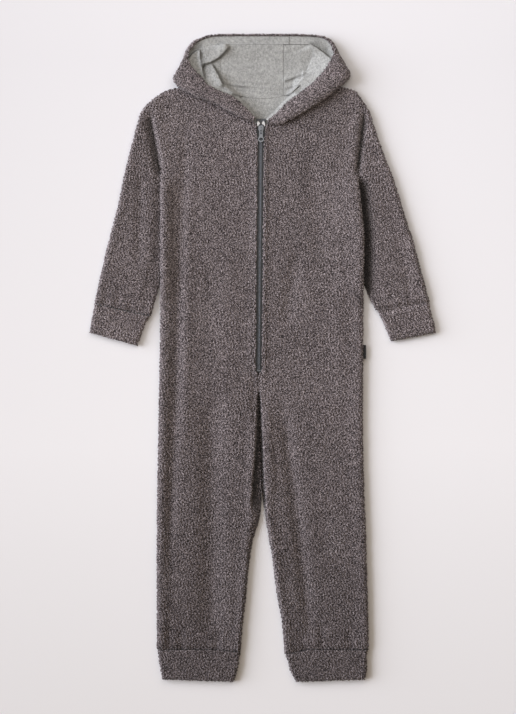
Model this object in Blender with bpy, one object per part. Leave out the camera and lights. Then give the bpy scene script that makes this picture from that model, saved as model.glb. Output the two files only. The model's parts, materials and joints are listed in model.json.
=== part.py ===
"""A child's hooded fleece onesie with a front zip, laid out flat on its back.

The wearer's right is at -X and the wearer's head is at +Y. The garment lies on
Z = 0 and its origin is under the middle of its outline. Sizes are in
millimetres, and MM turns them into metres. In plan, X is measured from the top
of the zip and Y from the hem of the legs, until the root empty centres it all.

A fleece panel is a wall between two grids of points, one on its outer face and
one on its inner face. A grid runs over stations, from the shoulder down, and
across each station, from the side seam inwards. The fronts lie on the backs,
and both roll round to meet halfway up at the garment's edges.
"""

import bpy
import bmesh
import numpy as np

MM = 0.001

# Cloth
FLEECE = 3.6
CUFF_WALL = 4.4
JERSEY = 1.2
SEAM = 0.3
LINING_SHORT = 1.5

# Heights of the laid-out layers
BASE = 11.0
SEAM_HEIGHT = 7.2
EDGE_RISE = 3.0
EDGE_ROLL = 8.0
SLEEVE_HEIGHT = 11.0
SLEEVE_TUCKED = 8.8
LIFT = 9.3
LEG_CUFF_HEIGHT = 12.0
SLEEVE_CUFF_HEIGHT = 11.2
CROWN_RISE = 4.6

# Levels down the middle of the body
ZIP_TOP = 1118.0
ZIP_BOTTOM = 629.0
CROTCH = 584.0
ANKLE = 73.0
NECK_BACK = 1170.0

# Zip
ZIP_LEAN = -4.4
ZIP_EDGE = 5.7
ZIP_SPREAD = 2.8
TAPE = 0.8
TAPE_HALF = 16.0
TAPE_TOP = 9.0
TAPE_LEVEL = 6.7
CHAIN_HALF = 3.0
CHAIN_HEIGHT = 2.6
SLIDER_Y = 1108.0
SLIDER_LENGTH = 14.0
SLIDER_WIDTH = 10.4
SLIDER_PLATE = 1.8
SLIDER_SINK = 0.4
PULL_THICK = 1.6
PULL_BAR = 0.6
PULL_SLOT = (1.7, 9.2)
PULL_HOLE = (3.9, 2.9, -19.4)
BRIDGE_WIDTH = 1.8

TAPE_END = {
    "right": [
        (-1.8, 1120.2), (-3.8, 1123.4), (-5.6, 1125.2), (-7.8, 1123.0),
        (-8.0, 1120.0), (-7.6, 1116.4), (-6.8, 1114.6),
    ],
    "left": [
        (1.2, 1120.4), (5.8, 1116.6), (7.6, 1113.6), (8.0, 1116.0),
        (7.8, 1121.0), (6.2, 1124.2), (4.6, 1125.2), (2.6, 1123.2),
    ],
}

# Label in the side seam
LABEL = (6.0, 28.0, 0.9)
LABEL_Y = 664.0

SIDES = ("right", "left")
INWARD = {"right": 1.0, "left": -1.0}


def table(columns, *rows):
    """The rows as named columns."""
    return dict(zip(columns.split(), np.array(rows, float).T))


# Where the shoulder meets the sleeve, and the underarm below it
TIP = {"right": (-224.0, 1158.0), "left": (210.0, 1156.0)}
UNDERARM = {"right": (-201.0, 1024.0), "left": (193.0, 1024.0)}
NECK_POINT = {"right": (-88.0, 1197.0), "left": (86.0, 1197.0)}

SHOULDER = {
    "right": table(
        "x y",
        (-224, 1158), (-218, 1166), (-204, 1177), (-190, 1185),
        (-168, 1192), (-130, 1197), (-88, 1197),
    ),
    "left": table(
        "x y",
        (86, 1197), (130, 1197), (172, 1191), (190, 1184),
        (196, 1176), (206, 1163), (210, 1156),
    ),
}

SIDE_SEAM = {
    "right": table(
        "y x",
        (1024, -201), (900, -201), (690, -202), (570, -204),
        (450, -206), (330, -208), (70, -208),
    ),
    "left": table(
        "y x",
        (1024, 193), (960, 200), (900, 206), (800, 205), (690, 204), (470, 204),
        (370, 207), (290, 210), (210, 212), (150, 214), (70, 215),
    ),
}

# The leg's inner edge, and how far the front takes to roll down to it
INSEAM = {
    "right": table(
        "y x roll",
        (584, -4.6, 6), (530, -2.8, 10), (450, -1.0, 16), (366, 1.6, 23),
        (328, 1.0, 23), (288, -4, 17), (248, -12, 11), (208, -18, 8),
        (168, -22.5, 7), (128, -27.5, 7), (88, -35, 7), (70, -39, 7),
    ),
    "left": table(
        "y x roll",
        (584, -3.9, 6), (530, -2.0, 7), (450, -0.2, 7), (366, 4.6, 7),
        (336, 8.6, 8), (284, 16.8, 8), (248, 22.8, 8), (186, 30.4, 8),
        (126, 41.2, 8), (70, 47.5, 8),
    ),
}

# The front's neckline and the back's, each station of the shoulder and armhole
# against the point of the neckline that it runs to
FRONT_NECK = {
    "right": table(
        "outer x y",
        (1158, -88, 1197), (1148, -80, 1185), (1133, -64, 1172),
        (1108, -45, 1158), (1080, -27, 1141), (1056, -11, 1119.5),
        (1050, -ZIP_EDGE - ZIP_SPREAD, ZIP_TOP),
    ),
    "left": table(
        "outer x y",
        (1156, 86, 1197), (1148, 78, 1184), (1133, 57, 1160),
        (1108, 34, 1136), (1080, 22, 1125), (1056, 11.5, 1118.5),
        (1050, ZIP_EDGE + ZIP_SPREAD, ZIP_TOP),
    ),
}
BACK_NECK = {
    "right": table(
        "outer x y",
        (1158, -88, 1197), (1148, -74, 1190), (1133, -54, 1180),
        (1108, -30, 1173), (1080, -12, 1170.6), (1050, -SEAM / 2, NECK_BACK),
    ),
    "left": table(
        "outer x y",
        (1156, 86, 1197), (1148, 74, 1190), (1133, 58, 1180),
        (1108, 36, 1173), (1080, 14, 1170.6), (1050, SEAM / 2, NECK_BACK),
    ),
}
# How far down the middle a station is, once it has left the neckline
MIDDLE = table(
    "outer front back",
    (1050, 1118, 1170), (1024, 1082, 1110), (985, 1027, 1035),
    (935, 957, 958), (880, 888, 888), (830, 830, 830), (60, 60, 60),
)

SLEEVE = {
    "right": table(
        "outer_x outer_y inner_x inner_y",
        (-224.5, 1158.2, -201.6, 1023.8), (-239, 1142, -202.4, 1012),
        (-249, 1114, -202.8, 1000), (-258, 1080, -202.8, 985),
        (-267, 1044, -198.0, 958), (-276, 1006, -194.5, 925),
        (-285, 960, -193.5, 890), (-297, 915, -194.5, 855),
        (-308, 872, -198.0, 826), (-318, 828, -203.4, 796),
        (-326, 793, -212.0, 766), (-333, 760.5, -219.8, 736),
    ),
    "left": table(
        "outer_x outer_y inner_x inner_y",
        (210.5, 1156.2, 193.6, 1023.8), (219, 1141, 195.0, 1012),
        (226, 1116, 197.0, 1000), (237, 1084, 199.0, 985),
        (251, 1045, 200.4, 955), (266, 1008, 199.6, 922),
        (279, 965, 199.0, 890), (293, 920, 199.6, 858),
        (307, 878, 202.4, 828), (318, 834, 207.4, 796),
        (328, 797, 217.5, 770), (337, 764.5, 229.5, 747.5),
    ),
}
SLEEVE_CUFF = {
    "right": table(
        "outer_x outer_y inner_x inner_y",
        (-332.5, 759.8, -221.5, 735.2), (-334.5, 748, -231, 719.5),
        (-339, 724, -239.5, 697), (-343.2, 702.5, -246.5, 676),
    ),
    "left": table(
        "outer_x outer_y inner_x inner_y",
        (336, 763.8, 231.5, 746.4), (338, 749, 241.5, 729),
        (345, 725, 251, 706), (349.2, 702.5, 260, 685),
    ),
}
LEG_CUFF = {
    "right": table(
        "outer_x outer_y inner_x inner_y",
        (-206.2, ANKLE - SEAM, -41, ANKLE - SEAM), (-204.6, 50, -43, 48),
        (-201, 30, -47, 28), (-197, 9.5, -54.5, 5),
    ),
    "left": table(
        "outer_x outer_y inner_x inner_y",
        (213.5, ANKLE - SEAM, 48.5, ANKLE - SEAM), (211.5, 50, 53, 50),
        (212, 28, 58.5, 26), (207.5, 9.5, 70, 5),
    ),
}

# Hood, from the V over the zip round to the centre panel. Each row is a section:
# where the panel starts, the facing's inner edge, the opening's edge, the
# outermost fold, and the height of the edge and of the crest
HOOD = {
    "right": table(
        "nx ny gx gy ex ey fx fy lip crest",
        (-8.5, 1133, -8.5, 1133, -10.5, 1131.5, -15.5, 1123, 19.5, 19.8),
        (-19, 1148, -19, 1148, -22, 1146, -41, 1131, 20.8, 22),
        (-37, 1167, -37, 1167, -40, 1164, -66, 1143, 21.5, 24),
        (-55, 1181, -55, 1181, -58, 1177, -90, 1156, 22.5, 25.5),
        (-80.2, 1192, -78, 1190.5, -83, 1187, -115, 1166, 23.5, 26.5),
        (-80, 1200, -91, 1204, -104, 1199, -140, 1176, 24, 27),
        (-80, 1212, -103, 1221, -122, 1219, -168, 1193, 24, 26),
        (-80, 1226, -115, 1239, -137, 1237, -177, 1208, 23, 24.5),
        (-80, 1238, -120, 1252, -143, 1250, -171, 1222, 21, 22),
        (-80, 1249, -121, 1262, -142, 1260, -159, 1244, 19, 19.6),
        (-80, 1258, -118, 1270, -136, 1271, -150, 1268, 17, 17.4),
        (-80, 1266, -110, 1275, -125, 1282, -136, 1285, 15, 15.4),
        (-80, 1275, -101, 1277.2, -110, 1290, -115, 1294, 13.8, 14.1),
        (-80, 1284, -92, 1277.4, -96, 1293.6, -98, 1298.4, 13.2, 13.5),
        (-80.15, 1291, -80.15, 1277.5, -80.15, 1294.5, -80.15, 1299.8, 13, 13.3),
    ),
    "left": table(
        "nx ny gx gy ex ey fx fy lip crest",
        (9, 1129.5, 9, 1129.5, 11.5, 1127.5, 17, 1117, 19.5, 19.8),
        (27, 1146, 27, 1146, 30, 1143, 45, 1119, 21, 23.5),
        (48, 1168, 48, 1168, 51, 1165, 84, 1139, 24, 28),
        (66, 1183, 66, 1183, 71, 1179, 106, 1152, 26, 30.5),
        (72, 1191, 80, 1197, 93, 1196, 127, 1167, 26.5, 31),
        (60, 1182.5, 81, 1208, 112, 1213, 150, 1184, 26, 30.5),
        (45, 1177, 90, 1225, 129, 1235, 172, 1203, 25, 29),
        (45, 1192, 98, 1242, 138, 1250, 180, 1217, 23.5, 26.5),
        (45, 1212, 103, 1256, 142, 1260, 172, 1233, 21.5, 23),
        (45, 1232, 103, 1266, 141, 1269, 160, 1254, 19, 19.6),
        (45, 1250, 99, 1273, 137, 1279, 147, 1279, 16.5, 16.9),
        (45, 1262, 92, 1277, 128, 1288, 134, 1291.5, 14.6, 15),
        (45, 1275, 79, 1277.4, 110, 1293, 113, 1297.5, 13.4, 13.7),
        (45, 1284, 62, 1277.5, 75, 1294.4, 76, 1299.5, 13.1, 13.4),
        (45.15, 1291, 45.15, 1277.5, 45.15, 1294.5, 45.15, 1299.8, 13, 13.3),
    ),
}
HOOD_SEAM = {"right": -80.0, "left": 45.0}
HOOD_SIDE_START = 5
LIP = 4.2
TUCK = 1.2
LINING_GAP = 1.0
REST_GAP = 0.8
FACING_LOW = 10.1
COVER = 6.0
LEG_STEPS = (1.0, 0.82, 0.66, 0.5, 0.3, 0.12, 0.0)
CENTRE_STEPS = np.array([0.0, 0.06, 0.13, 0.24, 0.48, 0.74, 1.0])
FACING_STEPS = np.array([0.0, 0.4, 0.75, 1.0])

# The largest folds. Each runs from one point to another, with a bow sideways, as
# a ridge or, where its height is below zero, a trough
FOLDS = table(
    "x0 y0 x1 y1 bow half_width height",
    (-160, 1050, -188, 400, 3, 13, -3.0),
    (-148, 990, -142, 500, 0, 13, 1.8),
    (-98, 830, -108, 490, 0, 13, -1.4),
    (-110, 540, -121, 70, -2, 13, -3.0),
    (-66, 930, -62, 440, 0, 17, 2.0),
    (-22, 888, -14, 660, 0, 8, -0.9),
    (72, 880, 42, 700, 0, 15, -1.9),
    (32, 590, 76, 175, 6, 12, -3.0),
    (13, 575, 22, 360, 0, 8, 1.6),
    (126, 350, 131, 250, 0, 20, -1.4),
    (150, 980, 160, 560, 0, 16, 1.2),
    (100, 1080, 118, 820, 0, 18, -1.0),
    (-241, 1000, -244, 820, 0, 9, -1.3),
    (272, 890, 300, 780, 0, 10, -1.0),
    (-186, 68, -184, 120, 0, 5, -1.8),
    (-161, 68, -159, 116, 0, 5, -1.8),
    (-88, 68, -84, 112, 0, 6, -1.8),
    (84, 68, 82, 112, 0, 6, -1.4),
    (123, 68, 120, 126, 0, 6, -2.0),
    (178, 68, 177, 110, 0, 6, -1.4),
    (-317, 745, -307, 800, 0, 5, -1.2),
    (-290, 738, -280, 792, 0, 5, -1.2),
    (-264, 730, -258, 778, 0, 5, -1.2),
    (301, 745, 292, 800, 0, 5, -1.2),
    (283, 740, 276, 792, 0, 5, -1.2),
    (263, 736, 258, 786, 0, 5, -1.2),
)
LINING_FOLDS = table(
    "x0 y0 x1 y1 bow half_width height",
    (-128, 1262, -62, 1274, 0, 8, 5.0),
    (-108, 1236, -88, 1204, 0, 8, 3.0),
    (44, 1204, 92, 1224, 0, 5, -1.2),
    (-60, 1196, 40, 1190, 0, 5, 1.2),
)


# Shape functions


def ease(x):
    x = np.clip(x, 0.0, 1.0)
    return x * x * (3.0 - 2.0 * x)


def bell(x):
    return np.exp(-x * x)


def roll(distance, radius):
    """0 on an edge, rising as a quarter circle to 1 at the radius."""
    q = np.clip(distance / radius, 0.0, 1.0)
    return np.sqrt(1.0 - (1.0 - q) ** 2)


def mix(a, b, f):
    return a + (b - a) * f


def read(rows, key, column, x):
    """A table's column at x, straight between its rows."""
    order = np.argsort(rows[key])
    return np.interp(x, rows[key][order], rows[column][order])


def smooth(rows, key, column, x):
    """A table's column at x, on a smooth curve through its rows."""
    order = np.argsort(rows[key])
    k = rows[key][order]
    v = rows[column][order]
    h = np.diff(k)
    slope = np.diff(v) / h
    m = np.concatenate([slope[:1], (slope[:-1] + slope[1:]) / 2, slope[-1:]])
    x = np.clip(x, k[0], k[-1])
    i = np.clip(np.searchsorted(k, x, side="right") - 1, 0, len(k) - 2)
    s = (x - k[i]) / h[i]
    start = (1 + 2 * s) * (1 - s) ** 2 * v[i] + s * (1 - s) ** 2 * h[i] * m[i]
    end = s * s * (3 - 2 * s) * v[i + 1] - s * s * (1 - s) * h[i] * m[i + 1]
    return start + end


def resample(rows, count):
    """The table with its rows replaced by `count` rows on smooth curves."""
    number = len(next(iter(rows.values())))
    rows = {**rows, "row": np.arange(number, dtype=float)}
    at = np.linspace(0, number - 1, count)
    return {name: smooth(rows, "row", name, at) for name in rows}


def folds(rows, x, y):
    """The height that a table of folds adds at a point."""
    total = np.zeros(np.broadcast(x, y).shape)
    for x0, y0, x1, y1, bow, width, height in zip(*rows.values()):
        length = np.hypot(x1 - x0, y1 - y0)
        ux, uy = (x1 - x0) / length, (y1 - y0) / length
        s = np.clip(((x - x0) * ux + (y - y0) * uy) / length, 0.0, 1.0)
        side = (y - y0) * ux - (x - x0) * uy - 4 * bow * s * (1 - s)
        fade = ease(s / 0.22) * ease((1 - s) / 0.22)
        total += height * bell(side / width) * fade
    return total


# The body's outline and the height of its front


def middle_x(y):
    """The centre line, which leans a little as the zip does."""
    return ZIP_LEAN * (ZIP_TOP - np.asarray(y, float)) / (ZIP_TOP - ZIP_BOTTOM)


def outer_x(side, y):
    tip, arm = TIP[side], UNDERARM[side]
    armhole = np.interp(y, (arm[1], tip[1]), (arm[0], tip[0]))
    return np.where(y > arm[1], armhole, smooth(SIDE_SEAM[side], "y", "x", y))


def zip_gap(y):
    """Half the gap between the fronts: the zip shows above, a seam below."""
    gap = mix(SEAM / 2, ZIP_EDGE, ease((y - ZIP_BOTTOM + 9.0) / 8.0))
    return gap + ZIP_SPREAD * ease((y - 1082.0) / 26.0)


def side_distance(side, x, y):
    arm_y = UNDERARM[side][1]
    seam = smooth(SIDE_SEAM[side], "y", "x", np.minimum(y, arm_y))
    inside = np.maximum(INWARD[side] * (x - seam), 0.0)
    return np.hypot(inside, np.maximum(y - arm_y, 0.0))


def armhole_distance(side, x, y):
    (tx, ty), (ax, ay) = TIP[side], UNDERARM[side]
    length = np.hypot(tx - ax, ty - ay)
    across = np.abs((x - ax) * (ty - ay) - (y - ay) * (tx - ax)) / length
    return np.hypot(across, np.maximum(ay - y, 0.0))


def inseam_distance(side, x, y):
    seam = smooth(INSEAM[side], "y", "x", np.minimum(y, CROTCH))
    inside = np.maximum(INWARD[side] * (seam - x), 0.0)
    return np.hypot(inside, np.maximum(y - CROTCH, 0.0))


def inseam_roll(side, y):
    return smooth(INSEAM[side], "y", "roll", np.minimum(y, CROTCH))


def shoulder_distance(side, x, y):
    return (smooth(SHOULDER[side], "x", "y", x) - y) * 0.97


def lifted(y):
    """1 where the body's edge lies on the sleeve, and 0 where it's on the floor."""
    return ease((1024.0 - y) / 36.0) * ease((y - 752.0) / 40.0)


def seam_height(y):
    return SEAM_HEIGHT + 6.0 * lifted(y)


def floor_height(side, x, y):
    """What the body's back lies on: Z = 0, and the sleeve's inner edge."""
    return LIFT * lifted(y) * (1 - ease((side_distance(side, x, y) - 7.0) / 19.0))


def front_height(side, x, y):
    """The front's outer face, before it rolls down to a seam."""
    to_side = side_distance(side, x, y)
    to_arm = armhole_distance(side, x, y)
    to_middle = np.abs(x - middle_x(y))
    to_inseam = inseam_distance(side, x, y)
    height = BASE + folds(FOLDS, x, y)
    height += EDGE_RISE * bell((to_side - EDGE_ROLL) / 9.0) * ease((1040.0 - y) / 60.0)
    height += 4.7 * lifted(y) * (1 - ease((to_side - 8.0) / 26.0))
    height += EDGE_RISE * bell((to_arm - 15.0) / 9.0) * ease((y - 1000.0) / 60.0)
    height -= 2.0 * bell(to_arm / 7.0) * ease((y - 1000.0) / 40.0)
    height += 2.0 * (1 - ease((to_middle - 8.0) / 16.0)) * ease((y - 600.0) / 20.0)
    height -= 1.6 * bell(to_middle / 4.0) * ease((ZIP_BOTTOM - 4 - y) / 8.0) * (y > CROTCH)
    height += 2.0 * bell((to_inseam - inseam_roll(side, y)) / 10.0) * ease((CROTCH - y) / 60)
    height -= 1.8 * bell((y - ANKLE) / 7.0)
    return height


# The body's panels

ROLL_STEPS = np.array([0.0, 0.06, 0.3, 1.0])
EDGE_STEPS = np.array([13.0, 19.0, 27.0])


def body_stations(side, inner):
    """The stations' heights up the side: the shoulder's roll comes first."""
    tip = TIP[side][1]
    start = FLEECE if inner else 0.0
    shoulder = tip - (start + (EDGE_ROLL - start) * ROLL_STEPS)
    rest = (
        1133, 1108, 1080, 1056, 1050, 1027, 1024, 1006, 985, 935, 880, 830,
        790, 770, 752, 690, 629, 624, 618, 592, 584, 570, 530, 480, 420, 366,
        328, 288, 248, 208, 160, 118, 88, ANKLE,
    )
    return np.concatenate([shoulder, rest])


def body_inner(side, part, outer):
    """The neckline, the centre line and the inseam, for each station."""
    neck = (FRONT_NECK if part == "front" else BACK_NECK)[side]
    neck_x = read(neck, "outer", "x", outer)
    neck_y = read(neck, "outer", "y", outer)
    y = np.where(outer > 1050, neck_y, read(MIDDLE, "outer", part, outer))
    gap = zip_gap(y) if part == "front" else SEAM / 2
    x = np.where(y > CROTCH, middle_x(y) - INWARD[side] * gap,
                 smooth(INSEAM[side], "y", "x", y))
    return np.where(outer > 1050, neck_x, x), y


def across(width, start, end, roll_start, roll_end, count, edge=()):
    """Distances from the outer seam, close together where the panel rolls."""
    first = start + (roll_start - start) * ROLL_STEPS
    first = np.concatenate([first, edge])
    last = width - end - (roll_end - end) * ROLL_STEPS[::-1]
    return np.concatenate([first, np.linspace(first[-1], last[0], count)[1:-1], last])


def body_plan(side, part, inner, count):
    """The grid's points in plan, as arrays of x and y."""
    outer = body_stations(side, inner)
    ox = outer_x(side, outer)
    ix, iy = body_inner(side, part, outer)
    arm = UNDERARM[side][1]
    wall = FLEECE if inner else 0.0
    inset_outer = wall * np.clip((arm + EDGE_ROLL - outer) / EDGE_ROLL, 0.0, 1.0)
    inset_inner = wall * np.clip((CROTCH + 8.0 - iy) / 8.0, 0.0, 1.0)
    width = np.hypot(ix - ox, iy - outer)
    rolls = np.where(iy > CROTCH + 8, 6.0, inseam_roll(side, iy))
    tip, neck = TIP[side], NECK_POINT[side]
    xs, ys = [], []
    for k in range(len(outer)):
        a = across(width[k], inset_outer[k], inset_inner[k], EDGE_ROLL, rolls[k], count,
                   EDGE_STEPS)
        u = a / width[k]
        top_x = mix(tip[0], neck[0], u)
        bow = smooth(SHOULDER[side], "x", "y", top_x) - mix(tip[1], neck[1], u)
        fade = 1 - ease((tip[1] - EDGE_ROLL - outer[k]) / 150.0)
        xs.append(mix(ox[k], ix[k], u))
        ys.append(mix(outer[k], iy[k], u) + bow * fade)
    return np.array(xs), np.array(ys)


def body_rolls(side, x, y, inner):
    """1 inside the panel, falling to 0 at its rolled edges."""
    wall = FLEECE if inner else 0.0
    part = roll(side_distance(side, x, y) - wall, EDGE_ROLL - wall)
    part *= roll(inseam_distance(side, x, y) - wall, inseam_roll(side, y) - wall)
    return part * roll(shoulder_distance(side, x, y) - wall, EDGE_ROLL - wall)


def front_points(side, inner, count):
    x, y = body_plan(side, "front", inner, count)
    seam = seam_height(y) + SEAM / 2
    top = front_height(side, x, y) - (FLEECE if inner else 0.0)
    z = seam + (top - seam) * body_rolls(side, x, y, inner)
    if not inner:
        to_zip = np.abs(x - middle_x(y)) - zip_gap(y)
        turned = np.where((y > ZIP_BOTTOM - 10) & (y < ZIP_TOP + 1), 1.5, 0.0)
        z -= turned * (1 - roll(to_zip, 4.0))
    return np.stack([x, y, z], axis=-1)


def back_points(side, inner, count):
    x, y = body_plan(side, "back", inner, count)
    seam = seam_height(y) - SEAM / 2
    low = floor_height(side, x, y) + (FLEECE if inner else 0.0)
    z = seam - (seam - low) * body_rolls(side, x, y, inner)
    return np.stack([x, y, z], axis=-1)


# Sleeves and cuffs


def sleeve_height(side, x, y, to_inner):
    """The top of a laid sleeve: thin where the body's edge lies on it."""
    height = SLEEVE_HEIGHT + folds(FOLDS, x, y)
    height += 1.4 * bell((side_reach(side, x, y) - 9.0) / 8.0)
    height -= 1.6 * bell(armhole_distance(side, x, y) / 9.0)
    thin = (height - SLEEVE_TUCKED) * (1 - ease((to_inner - 14.0) / 22.0))
    return height - np.maximum(thin, 0.0) * ease((y - 740.0) / 40.0)


def side_reach(side, x, y):
    """How far a point of the sleeve is from the sleeve's outer edge."""
    edge = SLEEVE[side]
    return np.abs(x - read(edge, "outer_y", "outer_x", y)) * 0.97


def tube_points(rows, height, wall, count, reach, ends):
    """Rings round a flattened tube: along the top, then back along the bottom."""
    rings = []
    for ox, oy, ix, iy, close in zip(
        rows["outer_x"], rows["outer_y"], rows["inner_x"], rows["inner_y"], ends
    ):
        width = np.hypot(ix - ox, iy - oy)
        a = across(width, wall, wall, reach[0], reach[1], count)
        x = mix(ox, ix, a / width)
        y = mix(oy, iy, a / width)
        top = height(x, y, width - a)
        mid = top / 2
        bend = roll(a - wall, reach[0] - wall) * roll(width - a - wall, reach[1] - wall)
        half = (mid - wall) * bend * close
        upper = np.stack([x, y, mid + half], axis=-1)
        lower = np.stack([x, y, mid - half], axis=-1)
        rings.append(np.concatenate([upper, lower[-2:0:-1]]))
    return np.array(rings)


def solid_tube(name, rows, height, wall, count, reach, ends, material):
    outer = tube_points(rows, height, 0.0, count, reach, ends[0])
    inner = tube_points(rows, height, wall, count, reach, ends[1])
    return wall_solid(name, outer, inner, material, closed=True)


def make_sleeve(side, stations, count):
    rows = resample(SLEEVE[side], stations)

    def height(x, y, to_inner):
        return sleeve_height(side, x, y, to_inner)

    ends = np.ones(stations)
    return solid_tube(
        "sleeve_" + side, rows, height, FLEECE, count, (7.0, 4.6), (ends, ends), "fleece"
    )


def make_cuff(name, table_rows, top, stations, count):
    """A band of fleece folded double, with its fold at the hem."""
    rows = resample(table_rows, stations)
    seam_x, seam_y = rows["outer_x"][0], rows["outer_y"][0]
    hem = (rows["outer_x"][-1] - seam_x, rows["outer_y"][-1] - seam_y)
    length = np.hypot(*hem)

    def height(x, y, to_inner):
        down = ((x - seam_x) * hem[0] + (y - seam_y) * hem[1]) / length
        return top - 1.6 * bell(down / 6.0)

    outer_ends = np.ones(stations)
    outer_ends[-1] = 0.82
    return solid_tube(
        name, rows, height, CUFF_WALL, count, (6.5, 6.5), (outer_ends, np.ones(stations)),
        "fleece",
    )


# Hood


def shoulder_ramp(side, x, y):
    """1 on the shoulder and 0 on the floor beyond it."""
    nx, ny = NECK_POINT[side]
    beyond = y - smooth(SHOULDER[side], "x", "y", x)
    inside_neck = np.hypot(x - nx, y - ny)
    out = np.where(INWARD[side] * (x - nx) < 0, beyond * 0.95, inside_neck * 1.4)
    return np.clip((24.0 - out) / 18.0, 0.0, 1.0)


def neck_ramp(side, x, y):
    """1 over the front panel and 0 inside its neckline."""
    nx = NECK_POINT[side][0]
    line = read(FRONT_NECK[side], "x", "y", x)
    over = (line - y) * 0.75
    ramp = np.clip((over + 13.0) / 7.0, 0.0, 1.0)
    return np.where(INWARD[side] * (x - nx) < 0, 0.0, ramp)


def rest_height(side, x, y):
    """What the hood lies on: the shoulders and chest, and the floor beyond."""
    ramp = np.maximum(shoulder_ramp(side, x, y), neck_ramp(side, x, y))
    return (front_height(side, x, y) + REST_GAP) * ramp


def leg_height(side, x, y):
    """The inside of the hood's layer on the floor, over the folded crown."""
    return rest_height(side, x, y) + FLEECE + CROWN_RISE * ease((y - 1245.0) / 43.0)


def cover_height(side, x, y):
    """A level that clears the hood's inside for a few millimetres round a point."""
    turn = np.linspace(0, 2 * np.pi, 8, endpoint=False)
    near = [leg_height(side, x + COVER * np.cos(t), y + COVER * np.sin(t)) for t in turn]
    return np.max([leg_height(side, x, y), *near], axis=0) + LINING_GAP


def hood_at(row, a):
    """The point at a distance from the opening's edge: outwards, or inwards below 0."""
    out = np.array([row["fx"] - row["ex"], row["fy"] - row["ey"]])
    back = np.array([row["nx"] - row["ex"], row["ny"] - row["ey"]])
    out /= np.hypot(*out)
    back /= np.hypot(*back)
    if a >= 0:
        return row["ex"] + out[0] * a, row["ey"] + out[1] * a
    return row["ex"] - back[0] * a, row["ey"] - back[1] * a


def hood_row(rows, k, side):
    """One row, with its start kept on its own side of the centre panel's seam."""
    row = {name: column[k] for name, column in rows.items()}
    if row["row"] >= 4:
        seam = HOOD_SEAM[side] - INWARD[side] * SEAM / 2
        row["nx"] = INWARD[side] * min(INWARD[side] * row["nx"], INWARD[side] * seam)
    return row


def recess(row):
    return min(7.0, 0.22 * np.hypot(row["fx"] - row["ex"], row["fy"] - row["ey"]))


def lip_depth(side, row):
    x, y = hood_at(row, recess(row))
    return min(LIP, 0.6 * (row["lip"] - leg_height(side, x, y)))


def hood_section(side, row, chest):
    """One closed section: the floor layer, the outer fold, and the edge on top."""
    width = np.hypot(row["fx"] - row["ex"], row["fy"] - row["ey"])
    start = -np.hypot(row["nx"] - row["ex"], row["ny"] - row["ey"])
    inner = recess(row)
    start = mix(start, inner - 0.8, chest)
    radius = min(9.0, 0.42 * width)
    flat = width - radius
    depth = lip_depth(side, row)
    points = []

    def add(a, level):
        x, y = hood_at(row, a)
        points.append((x, y, level(x, y)))

    def rest(x, y):
        return rest_height(side, x, y)

    def leg(x, y):
        return leg_height(side, x, y)

    def top(a):
        rise = ease(a / (0.5 * width)) if a < 0.5 * width else 1.0
        return mix(row["lip"], row["crest"], rise)

    def between(f, a):
        def level(x, y):
            return mix(rest(x, y), top(a), f)
        return level

    def at(z):
        return lambda x, y: z

    for f in LEG_STEPS[::-1]:
        add(mix(start, inner, f), rest)
    for f in (0.33, 0.67, 1.0):
        add(mix(inner, flat, f), rest)
    add(width - 0.29 * radius, between(0.15, flat))
    add(width, between(0.5, flat))
    add(width - 0.29 * radius, between(0.85, flat))
    for f in (1.0, 0.67, 0.33):
        a = mix(inner, flat, f)
        add(a, at(top(a)))
    add(min(2.0, 0.2 * width), at(row["lip"] + 0.1))
    add(0.0, at(row["lip"] - 0.5 * depth))
    add(min(0.8, 0.1 * width), at(row["lip"] - depth))
    add(inner, at(row["lip"] - depth))
    for f in LEG_STEPS:
        add(mix(start, inner, f), leg)
    return points


def make_hood_side(side, stations):
    rows = resample(HOOD[side], stations)
    sections = []
    for k in range(stations):
        row = hood_row(rows, k, side)
        chest = 1 - ease((row["row"] - 3.0) / 1.0)
        sections.append(hood_section(side, row, chest))
    return section_solid("hood_side_" + side, np.array(sections), "fleece")


def neck_curve(x):
    """The back of the neckline, which the hood and its lining are sewn to."""
    right = read(BACK_NECK["right"], "x", "y", x)
    left = read(BACK_NECK["left"], "x", "y", x)
    return np.where(x < 0, right, left)


def make_hood_centre():
    last = {name: column[-1] for name, column in HOOD["right"].items()}
    sections = []
    left, right = HOOD_SEAM["left"] - SEAM / 2, HOOD_SEAM["right"] + SEAM / 2
    for x in mix(right, left, CENTRE_STEPS):
        row = {**last, "nx": x, "ex": x, "fx": x, "ny": neck_curve(x) + SEAM}
        side = "right" if x < 0 else "left"
        sections.append(hood_section(side, row, 0.0))
    return section_solid("hood_centre", np.array(sections), "fleece")


def facing_row(side, row):
    """The facing's two edges and their heights, on one section of the hood."""
    tuck = recess(row) - TUCK
    x1, y1 = hood_at(row, tuck)
    high = row["lip"] - lip_depth(side, row) - 0.4
    reach = np.hypot(x1 - row["gx"], y1 - row["gy"])
    chest = 1 - ease((row["row"] - 3.0) / 1.0)
    inner = cover_height(side, row["gx"], row["gy"])
    slope = (high - mix(inner, 8.0, chest)) / reach
    thick = min(JERSEY * np.sqrt(1 + slope**2), 2.2)
    low = mix(inner + thick, FACING_LOW, chest)
    x = mix(row["gx"], x1, FACING_STEPS)
    y = mix(row["gy"], y1, FACING_STEPS)
    z = mix(low, high, FACING_STEPS**1.5)
    over = cover_height(side, x, y) + thick
    z = np.maximum(z, over * ease((row["row"] - 2.5) / 0.5))
    z = np.minimum(z, high)
    return np.stack([x, y, z], axis=-1), thick


def facing_sections(side, stations):
    rows = resample(HOOD[side], stations)
    return [facing_row(side, hood_row(rows, k, side)) for k in range(stations)]


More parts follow.
